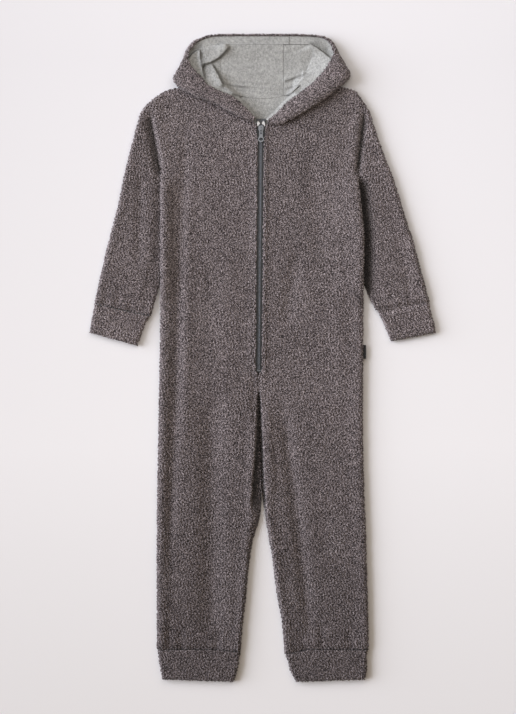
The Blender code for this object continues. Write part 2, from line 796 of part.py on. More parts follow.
def make_facing(stations):
    """One band round the opening, from the zip's left over the top to its right."""
    sections = facing_sections("right", stations)
    sections += facing_sections("left", stations)[::-1]
    top, bottom = [], []
    for points, thick in sections:
        top.append(points)
        bottom.append(points - np.array([0.0, 0.0, thick]))
    return wall_solid("hood_facing", np.array(top), np.array(bottom), "marl")


def lining_level(side, x, y):
    least = cover_height(side, x, y) + JERSEY
    return least + np.maximum(folds(LINING_FOLDS, x, y), 0.0)


def make_lining_side(side, stations, count):
    rows = resample(HOOD[side], 3 * len(HOOD[side]["nx"]) - 2)
    first, last = 3 * HOOD_SIDE_START, 3 * 13
    picks = np.linspace(first, last, stations).round().astype(int)
    top = []
    for k in picks:
        row = hood_row(rows, k, side)
        seam = HOOD_SEAM[side] - INWARD[side] * 0.2
        nx = min(row["nx"], seam) if side == "right" else max(row["nx"], seam)
        ny = min(row["ny"] + 0.4, 1276.4)
        gx, gy, gz = facing_row(side, row)[0][0]
        reach = np.hypot(gx - nx, gy - ny)
        u = np.linspace(0.0, 1.0 - LINING_SHORT / reach, count)
        x, y = mix(nx, gx, u), mix(ny, gy, u)
        end = lining_level(side, gx, gy)
        z = lining_level(side, x, y) + (gz - end) * ease(u)
        top.append(np.stack([x, y, z], axis=-1))
    top = np.array(top)
    bottom = top - np.array([0.0, 0.0, JERSEY])
    return wall_solid("lining_side_" + side, top, bottom, "marl")


def make_lining_centre(stations):
    xs = mix(HOOD_SEAM["right"] + 0.2, HOOD_SEAM["left"] - 0.2, CENTRE_STEPS)
    facing_edge = HOOD["right"]["gy"][-1] - LINING_SHORT / 2
    top = []
    for x in xs:
        side = "right" if x < 0 else "left"
        y = np.linspace(neck_curve(x) + SEAM, facing_edge, stations)
        z = lining_level(side, np.full(stations, x), y)
        top.append(np.stack([np.full(stations, x), y, z], axis=-1))
    top = np.array(top)
    return wall_solid("lining_centre", top, top - np.array([0.0, 0.0, JERSEY]), "marl")


def make_neck_facing(columns, stations):
    """A half-moon on the inside of the back, below the neck seam."""
    half = 61.0
    top = []
    for x in np.linspace(-half, half, columns):
        y = np.linspace(1100.0 + 62.0 * (x / half) ** 2, neck_curve(x) - 0.5, stations)
        z = np.full(stations, FLEECE + 1.5 * SEAM + JERSEY)
        top.append(np.stack([np.full(stations, x), y, z], axis=-1))
    top = np.array(top)
    return wall_solid("neck_facing", top, top - np.array([0.0, 0.0, JERSEY]), "marl")


# Meshes


def material(name):
    """The Principled material of one kind of cloth or metal."""
    looks = {
        "fleece": ((0.16, 0.145, 0.14), 0.95, 0.0),
        "marl": ((0.42, 0.42, 0.40), 0.9, 0.0),
        "tape": ((0.09, 0.10, 0.11), 0.7, 0.0),
        "light_tape": ((0.62, 0.62, 0.62), 0.8, 0.0),
        "zip_metal": ((0.22, 0.23, 0.25), 0.4, 0.8),
        "label": ((0.012, 0.012, 0.013), 0.6, 0.0),
    }
    found = bpy.data.materials.get(name)
    if found:
        return found
    color, rough, metal = looks[name]
    made = bpy.data.materials.new(name)
    made.use_nodes = True
    shader = made.node_tree.nodes["Principled BSDF"]
    shader.inputs["Base Color"].default_value = (*color, 1.0)
    shader.inputs["Roughness"].default_value = rough
    shader.inputs["Metallic"].default_value = metal
    return made


def add_object(name, points, faces, look, smooth_shade=True):
    """A closed mesh with its faces turned outwards, in metres."""
    mesh = bpy.data.meshes.new(name)
    mesh.from_pydata([tuple(p) for p in np.asarray(points) * MM], [], faces)
    work = bmesh.new()
    work.from_mesh(mesh)
    bmesh.ops.recalc_face_normals(work, faces=work.faces)
    bmesh.ops.triangulate(work, faces=work.faces)
    work.to_mesh(mesh)
    work.free()
    mesh.materials.append(material(look))
    if smooth_shade:
        mesh.shade_smooth()
        mesh.set_sharp_from_angle(angle=0.9)
    obj = bpy.data.objects.new(name, mesh)
    bpy.context.scene.collection.objects.link(obj)
    return obj


def strip_faces(rows, columns, start, closed):
    """Quads between the rows of a grid whose points are numbered from start."""
    number = start + np.arange(rows * columns).reshape(rows, columns)
    faces = []
    for i in range(rows - 1):
        for j in range(columns if closed else columns - 1):
            k = (j + 1) % columns
            faces.append((number[i, j], number[i + 1, j], number[i + 1, k], number[i, k]))
    return faces, number


def wall_solid(name, outer, inner, look, closed=False):
    """The solid between two grids of the same size."""
    rows, columns = outer.shape[:2]
    faces, a = strip_faces(rows, columns, 0, closed)
    more, b = strip_faces(rows, columns, rows * columns, closed)
    faces += [face[::-1] for face in more]
    if closed:
        borders = [(a[0], b[0]), (a[-1], b[-1])]
    else:
        path = [(0, j) for j in range(columns - 1)]
        path += [(i, columns - 1) for i in range(rows - 1)]
        path += [(rows - 1, j) for j in range(columns - 1, 0, -1)]
        path += [(i, 0) for i in range(rows - 1, 0, -1)]
        borders = [([a[p] for p in path], [b[p] for p in path])]
    for edge_a, edge_b in borders:
        count = len(edge_a)
        for j in range(count):
            k = (j + 1) % count
            faces.append((edge_a[j], edge_a[k], edge_b[k], edge_b[j]))
    points = np.concatenate([outer.reshape(-1, 3), inner.reshape(-1, 3)])
    return add_object(name, points, [tuple(int(v) for v in f) for f in faces], look)


def section_solid(name, sections, look):
    """The solid through closed sections, capped at its first and last."""
    rows, columns = sections.shape[:2]
    faces, number = strip_faces(rows, columns, 0, True)
    faces.append(tuple(number[0]))
    faces.append(tuple(number[-1][::-1]))
    points = sections.reshape(-1, 3)
    return add_object(name, points, [tuple(int(v) for v in f) for f in faces], look)


def prism(name, outline, low, high, look):
    """An upright prism on a plan outline."""
    count = len(outline)
    points = [(x, y, low) for x, y in outline] + [(x, y, high) for x, y in outline]
    faces = [tuple(range(count)), tuple(range(count, 2 * count))]
    for j in range(count):
        k = (j + 1) % count
        faces.append((j, k, k + count, j + count))
    return add_object(name, np.array(points), faces, look, smooth_shade=False)


def box(name, x0, x1, y0, y1, z0, z1, look):
    return prism(name, [(x0, y0), (x1, y0), (x1, y1), (x0, y1)], z0, z1, look)


def join(name, parts):
    """Unites solids that overlap into one."""
    body = parts[0]
    for other in parts[1:]:
        cut = body.modifiers.new("union", "BOOLEAN")
        cut.operation = "UNION"
        cut.object = other
        other.hide_render = True
        other.display_type = "WIRE"
    body.name = name
    return body


# The zip


def make_tape(side):
    """One woven tape, from the chain out under the front, narrower at its top."""
    sign = -INWARD[side]
    low, high = ZIP_BOTTOM - 6.0, ZIP_TOP + 12.0
    edges = table(
        "y reach",
        (low, SEAM), (high, SEAM), (high, TAPE_TOP), (ZIP_TOP + 1.0, TAPE_TOP),
        (ZIP_TOP - 3.0, TAPE_TOP + 3.0), (ZIP_TOP - 28.0, TAPE_HALF), (low, TAPE_HALF),
    )
    outline = [(middle_x(y) + sign * reach, y) for y, reach in zip(*edges.values())]
    return prism("zip_tape_" + side, outline, TAPE_LEVEL, TAPE_LEVEL + TAPE, "tape")


def make_tape_end(side):
    """The light end of the tape, turned over at the top of the zip."""
    low = TAPE_LEVEL + TAPE + SEAM
    x = float(middle_x(ZIP_TOP))
    outline = [(x + dx, y) for dx, y in TAPE_END[side]]
    return prism("tape_end_" + side, outline, low, low + 3.8, "light_tape")


def make_chain():
    low = TAPE_LEVEL + TAPE + SEAM
    sections = []
    for y in (ZIP_BOTTOM, 790.0, 960.0, ZIP_TOP):
        x = middle_x(y)
        section = [
            (-CHAIN_HALF, 0.0), (CHAIN_HALF, 0.0), (CHAIN_HALF, 0.6 * CHAIN_HEIGHT),
            (0.6 * CHAIN_HALF, CHAIN_HEIGHT), (-0.6 * CHAIN_HALF, CHAIN_HEIGHT),
            (-CHAIN_HALF, 0.6 * CHAIN_HEIGHT),
        ]
        sections.append([(x + dx, y, low + dz) for dx, dz in section])
    return section_solid("zip_chain", np.array(sections), "zip_metal")


def make_stop():
    low = TAPE_LEVEL + TAPE + SEAM
    x = float(middle_x(ZIP_BOTTOM))
    return box("zip_stop", x - 3.2, x + 3.2, ZIP_BOTTOM - 3.6, ZIP_BOTTOM - 0.3,
               low, low + CHAIN_HEIGHT + 0.4, "zip_metal")


def axis_height():
    """The level of the pull's hinge, above the slider's top plate."""
    chain_top = TAPE_LEVEL + TAPE + SEAM + CHAIN_HEIGHT
    return chain_top + SEAM + SLIDER_PLATE + SEAM + PULL_THICK / 2


def make_slider():
    """A plate over the chain, a flange down each side, and a bridge on top."""
    x = float(middle_x(SLIDER_Y))
    low = TAPE_LEVEL + TAPE + SEAM
    chain_top = low + CHAIN_HEIGHT
    plate_low = chain_top + SEAM
    plate_top = plate_low + SLIDER_PLATE
    half, back = SLIDER_WIDTH / 2, SLIDER_LENGTH / 2
    centre = SLIDER_Y + 1.0
    plan = [
        (x - half * 0.6, centre - back), (x + half * 0.6, centre - back),
        (x + half, centre), (x + half, centre + back * 0.7),
        (x + half * 0.55, centre + back), (x - half * 0.55, centre + back),
        (x - half, centre + back * 0.7), (x - half, centre),
    ]
    parts = [prism("zip_slider", plan, plate_low, plate_top, "zip_metal")]
    for sign in (-1, 1):
        x0 = x + sign * (CHAIN_HALF + 0.4)
        x1 = x + sign * (half - 0.6)
        parts.append(box("flange_%d" % sign, min(x0, x1), max(x0, x1), centre - 1.0,
                         centre + 4.0, low, plate_low + SLIDER_SINK, "zip_metal"))
    axis = axis_height()
    foot = plate_top - SLIDER_SINK - axis
    bend, top_in, top_out = 1.4, 1.6, 3.0
    profile = [
        (-2.9, foot), (-2.9, bend), (-1.5, top_out), (3.4, top_out), (5.4, bend),
        (5.4, foot), (3.8, foot), (3.0, top_in), (-1.5, top_in), (-1.5, foot),
    ]
    sections = []
    for dx in (-BRIDGE_WIDTH / 2, BRIDGE_WIDTH / 2):
        sections.append([(x + dx, SLIDER_Y + dy, axis + dz) for dy, dz in profile])
    parts.append(section_solid("bridge", np.array(sections), "zip_metal"))
    return join("zip_slider", parts)


def make_pull():
    """A flat tab with a slot round the bridge, and a ring at its end."""
    edge = [
        (3.1, PULL_BAR), (3.6, -6.0), (3.4, -12.4), (4.7, -15.4), (5.8, -18.0),
        (5.9, -20.6), (5.0, -22.9), (3.2, -24.6), (1.1, -25.2),
    ]
    outline = edge + [(-x, y) for x, y in edge[::-1]]
    tab = prism("zip_pull", outline, -PULL_THICK / 2, PULL_THICK / 2, "zip_metal")
    slot_half, slot_end = PULL_SLOT
    slot = box("slot", -slot_half, slot_half, -slot_end, -PULL_BAR, -PULL_THICK, PULL_THICK,
               "zip_metal")
    hole_x, hole_y, middle = PULL_HOLE
    angles = np.linspace(0, 2 * np.pi, 12, endpoint=False)
    ring = [(hole_x * np.cos(t), middle + hole_y * np.sin(t)) for t in angles]
    hole = prism("hole", ring, -PULL_THICK, PULL_THICK, "zip_metal")
    for cutter in (slot, hole):
        cut = tab.modifiers.new("cut", "BOOLEAN")
        cut.operation = "DIFFERENCE"
        cut.object = cutter
        cutter.hide_render = True
        cutter.display_type = "WIRE"
        cutter.parent = tab
    tab.location = (
        float(middle_x(SLIDER_Y)) * MM, SLIDER_Y * MM, axis_height() * MM
    )
    return tab


def make_label():
    """A folded flag of ribbon in the wearer's left side seam."""
    x = float(outer_x("left", np.array(LABEL_Y)))
    width, length, thick = LABEL
    low = SEAM_HEIGHT - thick / 2
    return box("side_label", x + 0.4, x + width, LABEL_Y - length / 2,
               LABEL_Y + length / 2, low, low + thick, "label")


def clear_scene():
    for obj in list(bpy.data.objects):
        bpy.data.objects.remove(obj)


def build():
    clear_scene()
    for side in SIDES:
        front = [front_points(side, inner, 6) for inner in (False, True)]
        wall_solid("front_" + side, *front, "fleece")
        back = [back_points(side, inner, 3) for inner in (False, True)]
        wall_solid("back_" + side, *back, "fleece")
        make_sleeve(side, 12, 6)
        make_cuff("sleeve_cuff_" + side, SLEEVE_CUFF[side], SLEEVE_CUFF_HEIGHT, 5, 4)
        make_cuff("leg_cuff_" + side, LEG_CUFF[side], LEG_CUFF_HEIGHT, 5, 6)
        make_hood_side(side, 24)
        make_lining_side(side, 9, 5)
        make_tape(side)
        make_tape_end(side)
    make_hood_centre()
    make_facing(24)
    make_lining_centre(9)
    make_neck_facing(9, 4)
    make_chain()
    make_stop()
    make_slider()
    make_pull()
    make_label()
    centre_on_origin()


def centre_on_origin():
    """Parents every piece to one empty, placed so that the outline is centred."""
    bpy.context.view_layer.update()
    corners = []
    for obj in bpy.data.objects:
        if obj.type == "MESH" and not obj.hide_render:
            corners += [obj.matrix_world @ vertex.co for vertex in obj.data.vertices]
    points = np.array(corners)
    low, high = points.min(axis=0), points.max(axis=0)
    root = bpy.data.objects.new("onesie", None)
    bpy.context.scene.collection.objects.link(root)
    for obj in list(bpy.data.objects):
        if obj is not root and obj.parent is None:
            obj.parent = root
    root.location = (-(low[0] + high[0]) / 2, -(low[1] + high[1]) / 2, -low[2])


build()
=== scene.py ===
"""The looks of a child's hooded onesie in curly fleece, laid out flat and seen from above.

Sizes are in millimetres, in the plan that the part was cut on: X from the top of
the zip, Y from the hem of the legs. to_frame() puts them into the frame's metres.
The driving sizes and tables are the part's own, and the grids here are finer. A
cloth is an open shell on its solid's outer face, with a lip turned in all round.
"""

import json
from functools import partial

import bpy
import numpy as np
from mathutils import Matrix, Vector

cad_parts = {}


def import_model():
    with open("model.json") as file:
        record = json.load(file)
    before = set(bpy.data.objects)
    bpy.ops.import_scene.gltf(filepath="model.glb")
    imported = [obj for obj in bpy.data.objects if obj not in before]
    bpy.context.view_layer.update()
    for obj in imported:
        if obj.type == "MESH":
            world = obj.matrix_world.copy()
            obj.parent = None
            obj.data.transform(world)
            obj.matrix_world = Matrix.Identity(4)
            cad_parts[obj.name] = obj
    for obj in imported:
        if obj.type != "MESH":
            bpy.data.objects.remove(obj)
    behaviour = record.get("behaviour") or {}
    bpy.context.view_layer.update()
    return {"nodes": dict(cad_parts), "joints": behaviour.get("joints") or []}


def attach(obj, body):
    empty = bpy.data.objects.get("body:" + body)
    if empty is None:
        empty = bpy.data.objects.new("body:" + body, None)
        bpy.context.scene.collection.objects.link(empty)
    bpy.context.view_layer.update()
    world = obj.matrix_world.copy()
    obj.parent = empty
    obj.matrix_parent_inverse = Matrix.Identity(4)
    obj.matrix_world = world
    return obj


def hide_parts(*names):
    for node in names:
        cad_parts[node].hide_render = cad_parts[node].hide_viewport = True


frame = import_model()

MM = 0.001

# Thickness of the cloths, and the gap that a seam leaves between two panels
FLEECE = 3.6
CUFF_WALL = 4.4
JERSEY = 1.2
SEAM = 0.3

# Heights of the laid-out layers
BASE = 11.0
SEAM_HEIGHT = 7.2
SEAM_LIFT = 6.0
SLEEVE_HEIGHT = 11.0
SLEEVE_TUCKED = 8.8
LIFT = 9.3
OVER_SLEEVE = 5.7
LEG_CUFF_HEIGHT = 12.0
SLEEVE_CUFF_HEIGHT = 11.2
CROWN_RISE = 4.6

# How wide the cloth rolls over at an edge: outer and inner for a sleeve and a cuff
EDGE_ROLL = 8.0
NECK_ROLL = 6.0
SLEEVE_ROLLS = (7.0, 4.6)
CUFF_ROLLS = (6.5, 6.5)
# The share of its height that a cuff keeps at its hem
CUFF_HEM = 0.55

# Levels down the middle of the body
ZIP_TOP = 1118.0
ZIP_BOTTOM = 629.0
CROTCH = 584.0
ANKLE = 73.0
NECK_BACK = 1170.0

# Zip
ZIP_LEAN = -4.4
ZIP_EDGE = 5.7
ZIP_SPREAD = 2.8
TAPE = 0.8
TAPE_LEVEL = 6.7
SLIDER_Y = 1108.0
TOOTH_PITCH = 2.5
TOOTH_HALF = 1.125
# A tooth's outline, across from the middle and up from the tape
TOOTH = [(-3.0, 0.15), (-0.6, 0.1), (0.35, 0.55), (0.6, 1.2), (0.35, 1.9), (-0.6, 2.4), (-3.0, 2.2)]

# Steps of the grids, finer where the cloth shows
FINE = 1.75
SLEEVE_FINE = 2.0
COARSE = 3.2
HOOD_ROWS = 150
ROLL_STEPS = np.array([0.0, 0.015, 0.06, 0.14, 0.28, 0.5, 0.75, 1.0])
HEM_STEPS = np.array([0.12, 0.4, 1.0])
INSEAM_STEPS = np.linspace(0.0, 1.0, 14) ** 1.1
FACING_STEPS = np.linspace(0.0, 1.0, 29)
FACING_CURVE = {"right": 1.5, "left": 1.0}
SKIRT_STEPS = np.array([1.0, 0.6, 0.25])

# Rises and dips of the cloth. Folds show more than in the solids, where the two
# layers limit their depth
FOLD_DEPTH = 1.5
SIDE_RISE = {"right": 3.0, "left": 1.4}
SIDE_REACH = {"right": 26.0, "left": 60.0}
ARMHOLE_RISE = 1.5
ZIP_RISE = 2.0
INSEAM_RISE = 2.0
OUTER_RISE = 0.7
MIDDLE_SEAM_DEPTH = 1.6
ZIP_TURN_DEPTH = 1.5
STITCH_DEPTH = 0.9
ANKLE_DEPTH = 3.0
CUFF_SEAM_DEPTH = 2.4
CUFF_DEPTH = 2.6
VALLEY_TOP = 1146.0
VALLEY_DEPTH = {"front": 7.0, "sleeve": 7.2}
VALLEY_WIDTH = {
    "front": {"right": 4.5, "left": 4.0},
    "sleeve": {"right": 11.0, "left": 6.0},
}
SLEEVE_DIP = {"right": 1.6, "left": 7.0}
DIP_WIDTH = {"right": 8.0, "left": 15.0}
TUCKED_UNDER = 6.0
CREVICE = 5.2
LEGS_MEET = 1.2
# How far the ankle's seam hangs below a straight one, all along and at its inner end
ANKLE_DROP = {"right": (3.5, 5.0), "left": (3.5, 9.0)}
# The share that a distance along X or Y is of the shortest way to a sloping edge
SLOPE = 0.97
# The share of a line's length over which a fold or a crease fades at either end
FOLD_FADE = 0.22
CREASE_FADE = 0.15
# How far a crease drops and stays lit beyond its line, and a hollow's edge beside it
CREASE_DROP = 1.5
CREASE_LIT = 1.0
HOLLOW_EDGE = 3.0
# The share of the lining's creases that shows through the facing over them
FACING_CREASES = 0.6

# Pile: its depth, the level in it where the cloth's face lies, and the parts that curls
# and clumps have in it. A turned-in lip is flat and goes this share of the wall down
PILE_DEPTH = 2.6
PILE_LEVEL = 0.62
CURL_SHARE = 1.05
CLUMP_SHARE = 0.2
# A turned-in lip's pile value, which only makes its colour a little darker, as painted shade
LIP_PILE = 0.2
LIP_SHARE = 0.85

# Shares of the light lost in the valleys: between the legs low and high, and so on
LEGS_SHADE = (0.86, 0.97)
LOW_LEG_SHADE = 0.3
ARMHOLE_SHADE = {
    "front": {"right": 0.3, "left": 0.7},
    "sleeve": {"right": 0.75, "left": 0.6},
    "edge": {"right": 0.1, "left": 1.0},
}
# Painted light on the wrists' cuffs: a shade below zero, which makes their colour a little lighter
WRIST_PAINTED_LIGHT = -0.15

# Sewing
STITCH_LINE = {"right": 13.0, "left": 16.4}
STITCH = 3.6
STITCH_SHARE = 0.72
SEAM_STITCH = 2.4
FACING_SEAMS = (((-78, 1278), (97, 1278)), ((56, 1278), (56, 1293)))
# A stitch's rings: how far along it, how far up, and the thread's radius
STITCH_RINGS = ((0.0, -0.6, 0.25), (0.25, 0.0, 0.42), (0.75, 0.0, 0.42), (1.0, -0.6, 0.25))

# The cut of what shows of each cloth: its flat size in metres, and its area
CUTS = {
    "front": ((0.235, 1.13), 0.225),
    "back": ((0.235, 1.13), 0.225),
    "sleeve": ((0.22, 0.43), 0.070),
    "sleeve_cuff": ((0.23, 0.065), 0.0142),
    "leg_cuff": ((0.34, 0.075), 0.0225),
    "hood_side_right": ((0.17, 0.27), 0.0155),
    "hood_side_left": ((0.17, 0.27), 0.021),
    "lining_side_right": ((0.07, 0.10), 0.0038),
    "lining_side_left": ((0.07, 0.10), 0.0050),
    "hood_centre": ((0.125, 0.27), 0.030),
    "lining_centre": ((0.125, 0.11), 0.0125),
    "hood_facing": ((0.04, 0.56), 0.0135),
}
# The CAD pieces that stay: their material, and how far their edges are rounded, which
# happens where two faces meet at more than this angle
BEVEL_ANGLE = 0.6
STAYING = {
    "zip_slider": ("plate", 0.35), "zip_pull": ("plate", 0.3), "zip_stop": ("plate", 0.4),
    "side_label": ("ribbon", 0.25), "neck_facing": ("marl", 0.0),
    "tape_end_left": ("tape_end", 0.8), "tape_end_right": ("tape_end", 0.8),
    "zip_tape_left": ("tape", 0.2), "zip_tape_right": ("tape", 0.2),
}

# Materials: ramps from dark to light
# The fleece's ramp runs from the pits between curls, painted dark as shade, to the tips, painted
# light
FLEECE_COLORS = [
    (0.12, (0.014, 0.010, 0.011)), (0.38, (0.094, 0.076, 0.080)),
    (0.60, (0.184, 0.153, 0.160)), (0.95, (0.38, 0.33, 0.34)),
]
MARL_COLORS = [
    (0.34, (0.17, 0.173, 0.172)), (0.47, (0.30, 0.304, 0.300)),
    (0.55, (0.37, 0.376, 0.370)), (0.68, (0.53, 0.535, 0.53)),
]
# How much painted shade darkens a cloth's colour where its crease value is 1
PAINTED_SHADE_DEPTH = 0.85
PLATE_COLOR = (0.23, 0.245, 0.27)
PLATE_ROUGH = 0.42
TOOTH_COLOR = (0.11, 0.117, 0.13)
TOOTH_ROUGH = 0.5
TAPE_COLOR = (0.115, 0.122, 0.135)
TAPE_END_COLOR = (0.70, 0.70, 0.70)
LABEL_COLOR = (0.012, 0.012, 0.014)
STITCH_COLOR = (0.10, 0.095, 0.095)
# The facing's seams are real, and their dark thread also paints the thin line of shade along its
# edge
LINING_STITCH_COLOR = (0.13, 0.13, 0.13)
# Metres between the threads of a woven cloth
TAPE_PITCH = 0.0009
TAPE_END_PITCH = 0.0006
LABEL_PITCH = 0.0005
# The length in metres of a wave texture's band at a scale of 1
WAVE_METRE = 0.314

# Stage, in metres. The floor's ramp runs from its near end to its far end, and is painted
# shade: darker at the far end, where the softbox lights the floor more, and a little
# darker at the near end.
PICTURE_HEIGHT = 1.428
PICTURE_CENTRE = (-0.009, 0.0016)
CAMERA_HEIGHT = 6.0
SENSOR = 36.0
FLOOR_Z = -0.0006
FLOOR_REACH = 20.0
FLOOR_SHADE_RAMP = [
    (0.0, (0.815, 0.808, 0.822)), (0.4, (0.860, 0.855, 0.878)), (1.0, (0.738, 0.734, 0.765)),
]
KEY_FROM = (-1.0, 0.16, 0.42)
KEY_STRENGTH = 4.7
KEY_SPREAD = 0.9
KEY_COLOR = (0.955, 0.985, 1.07)
SOFTBOX_AT = (0.05, 0.95, 1.2)
SOFTBOX_AIM = (0.0, 0.25, 0.0)
SOFTBOX_SIZE = (1.8, 1.2)
SOFTBOX_POWER = 9.6
SOFTBOX_COLOR = (1.0, 0.98, 0.96)
SKY_COLOR = (1.0, 0.80, 0.58)
SKY_STRENGTH = 0.27

SIDES = ("right", "left")
INWARD = {"right": 1.0, "left": -1.0}


def table(columns, *rows):
    """The rows as named columns."""
    return dict(zip(columns.split(), np.array(rows, float).T))


# Where the shoulder meets the sleeve, the underarm below it, and the neck
TIP = {"right": (-226.0, 1160.0), "left": (209.0, 1157.0)}
UNDERARM = {"right": (-201.0, 1024.0), "left": (193.0, 1024.0)}
NECK_POINT = {"right": (-88.0, 1197.0), "left": (86.0, 1197.0)}

SHOULDER = {
    "right": table(
        "x y",
        (-226, 1160), (-219, 1167), (-204, 1178), (-190, 1185.5),
        (-168, 1192), (-130, 1197), (-88, 1197),
    ),
    "left": table(
        "x y",
        (86, 1197), (130, 1197), (172, 1191), (190, 1184),
        (196, 1176.5), (205, 1164), (209, 1157),
    ),
}

SIDE_SEAM = {
    "right": table(
        "y x",
        (1024, -201), (900, -201), (690, -202), (570, -204),
        (450, -206), (330, -208), (70, -208),
    ),
    "left": table(
        "y x",
        (1024, 193), (960, 200), (900, 206), (800, 205), (690, 204), (470, 204),
        (370, 207), (290, 210), (210, 212), (150, 214), (70, 215),
    ),
}

# The leg's inner edge, and how far the front takes to roll down to it
INSEAM = {
    "right": table(
        "y x roll",
        (584, -4.6, 6), (530, -2.8, 10), (450, -1.0, 16), (390, 0.0, 20),
        (350, -0.5, 20), (328, -3.5, 17), (288, -16.0, 12), (248, -22.5, 8), (208, -27, 7),
        (168, -30.5, 7), (128, -35, 7), (88, -39.5, 7), (70, -41.5, 7),
    ),
    "left": table(
        "y x roll",
        (584, -3.9, 6), (530, -2.0, 7), (450, -0.2, 7), (366, 4.6, 7),
        (336, 8.6, 8), (284, 16.8, 8), (248, 22.8, 8), (186, 30.4, 8),
        (126, 41.2, 8), (70, 47.5, 8),
    ),
}

# How far from the inseam the top of the leg ends, where the legs meet
LEG_EDGE = {
    "right": table("y edge", (584, 1.5), (560, 3), (498, 5.5), (452, 9.5), (408, 15), (366, 17)),
    "left": table("y edge", (584, 0.8), (560, 1.5), (498, 2.5), (452, 3.5), (366, 3.5)),
}

# The front's neckline and the back's, each station of the shoulder and armhole
# against the point of the neckline that it runs to
FRONT_NECK = {
    "right": table(
        "outer x y",
        (1158, -88, 1197), (1148, -80, 1185), (1133, -64, 1172),
        (1108, -45, 1158), (1080, -27, 1141), (1056, -11, 1119.5),
        (1050, -ZIP_EDGE - ZIP_SPREAD, ZIP_TOP),
    ),
    "left": table(
        "outer x y",
        (1156, 86, 1197), (1148, 78, 1184), (1133, 57, 1160),
        (1108, 34, 1136), (1080, 22, 1125), (1056, 11.5, 1118.5),
        (1050, ZIP_EDGE + ZIP_SPREAD, ZIP_TOP),
    ),
}

BACK_NECK = {
    "right": table(
        "outer x y",
        (1158, -88, 1197), (1148, -74, 1190), (1133, -54, 1180),
        (1108, -30, 1173), (1080, -12, 1170.6), (1050, -SEAM / 2, NECK_BACK),
    ),
    "left": table(
        "outer x y",
        (1156, 86, 1197), (1148, 74, 1190), (1133, 58, 1180),
        (1108, 36, 1173), (1080, 14, 1170.6), (1050, SEAM / 2, NECK_BACK),
    ),
}

# How far down the middle a station is, once it has left the neckline
MIDDLE = table(
    "outer front back",
    (1050, 1118, 1170), (1024, 1082, 1110), (985, 1027, 1035),
    (935, 957, 958), (880, 888, 888), (830, 830, 830), (60, 60, 60),
)

# Stations down each sleeve and cuff: a point on the outer edge and one on the inner
SLEEVE = {
    "right": table(
        "outer_x outer_y inner_x inner_y",
        (-226.5, 1160.2, -201.6, 1023.8), (-240.5, 1142, -202.4, 1012),
        (-249, 1114, -202.8, 1000), (-258, 1080, -202.8, 985),
        (-267, 1044, -198.0, 958), (-276, 1006, -194.5, 925),
        (-285, 960, -193.5, 890), (-297, 915, -194.5, 855),
        (-308, 872, -198.0, 826), (-318, 828, -203.4, 796),
        (-326, 793, -212.0, 766), (-333, 760.5, -219.8, 736),
    ),
    "left": table(
        "outer_x outer_y inner_x inner_y",
        (209.5, 1157.2, 193.6, 1023.8), (218.5, 1141, 195.0, 1012),
        (226, 1116, 197.0, 1000), (237, 1084, 199.0, 985),
        (251, 1045, 200.4, 955), (266, 1008, 199.6, 922),
        (279, 965, 199.0, 890), (293, 920, 199.6, 858),
        (307, 878, 202.4, 828), (318, 834, 207.4, 796),
        (328, 797, 217.5, 770), (337, 764.5, 229.5, 747.5),
    ),
}

SLEEVE_CUFF = {
    "right": table(
        "outer_x outer_y inner_x inner_y",
        (-332.5, 759.8, -221.5, 735.2), (-334.5, 748, -231, 719.5),
        (-339, 724, -239.5, 697), (-343.2, 702.5, -246.5, 676),
    ),
    "left": table(
        "outer_x outer_y inner_x inner_y",
        (336, 763.8, 231.5, 746.4), (338, 749, 241.5, 729),
        (345, 725, 251, 706), (349.2, 702.5, 260, 685),
    ),
}

LEG_CUFF = {
    "right": table(
        "outer_x outer_y inner_x inner_y",
        (-206.2, ANKLE - SEAM, -41.5, ANKLE - SEAM), (-204.6, 50, -43.5, 48),
        (-201, 30, -47, 28), (-197, 9.5, -54.5, 5),
    ),
    "left": table(
        "outer_x outer_y inner_x inner_y",
        (213.5, ANKLE - SEAM, 48.5, ANKLE - SEAM), (211.5, 50, 53, 50),
        (212, 28, 58.5, 26), (207.5, 9.5, 70, 5),
    ),
}

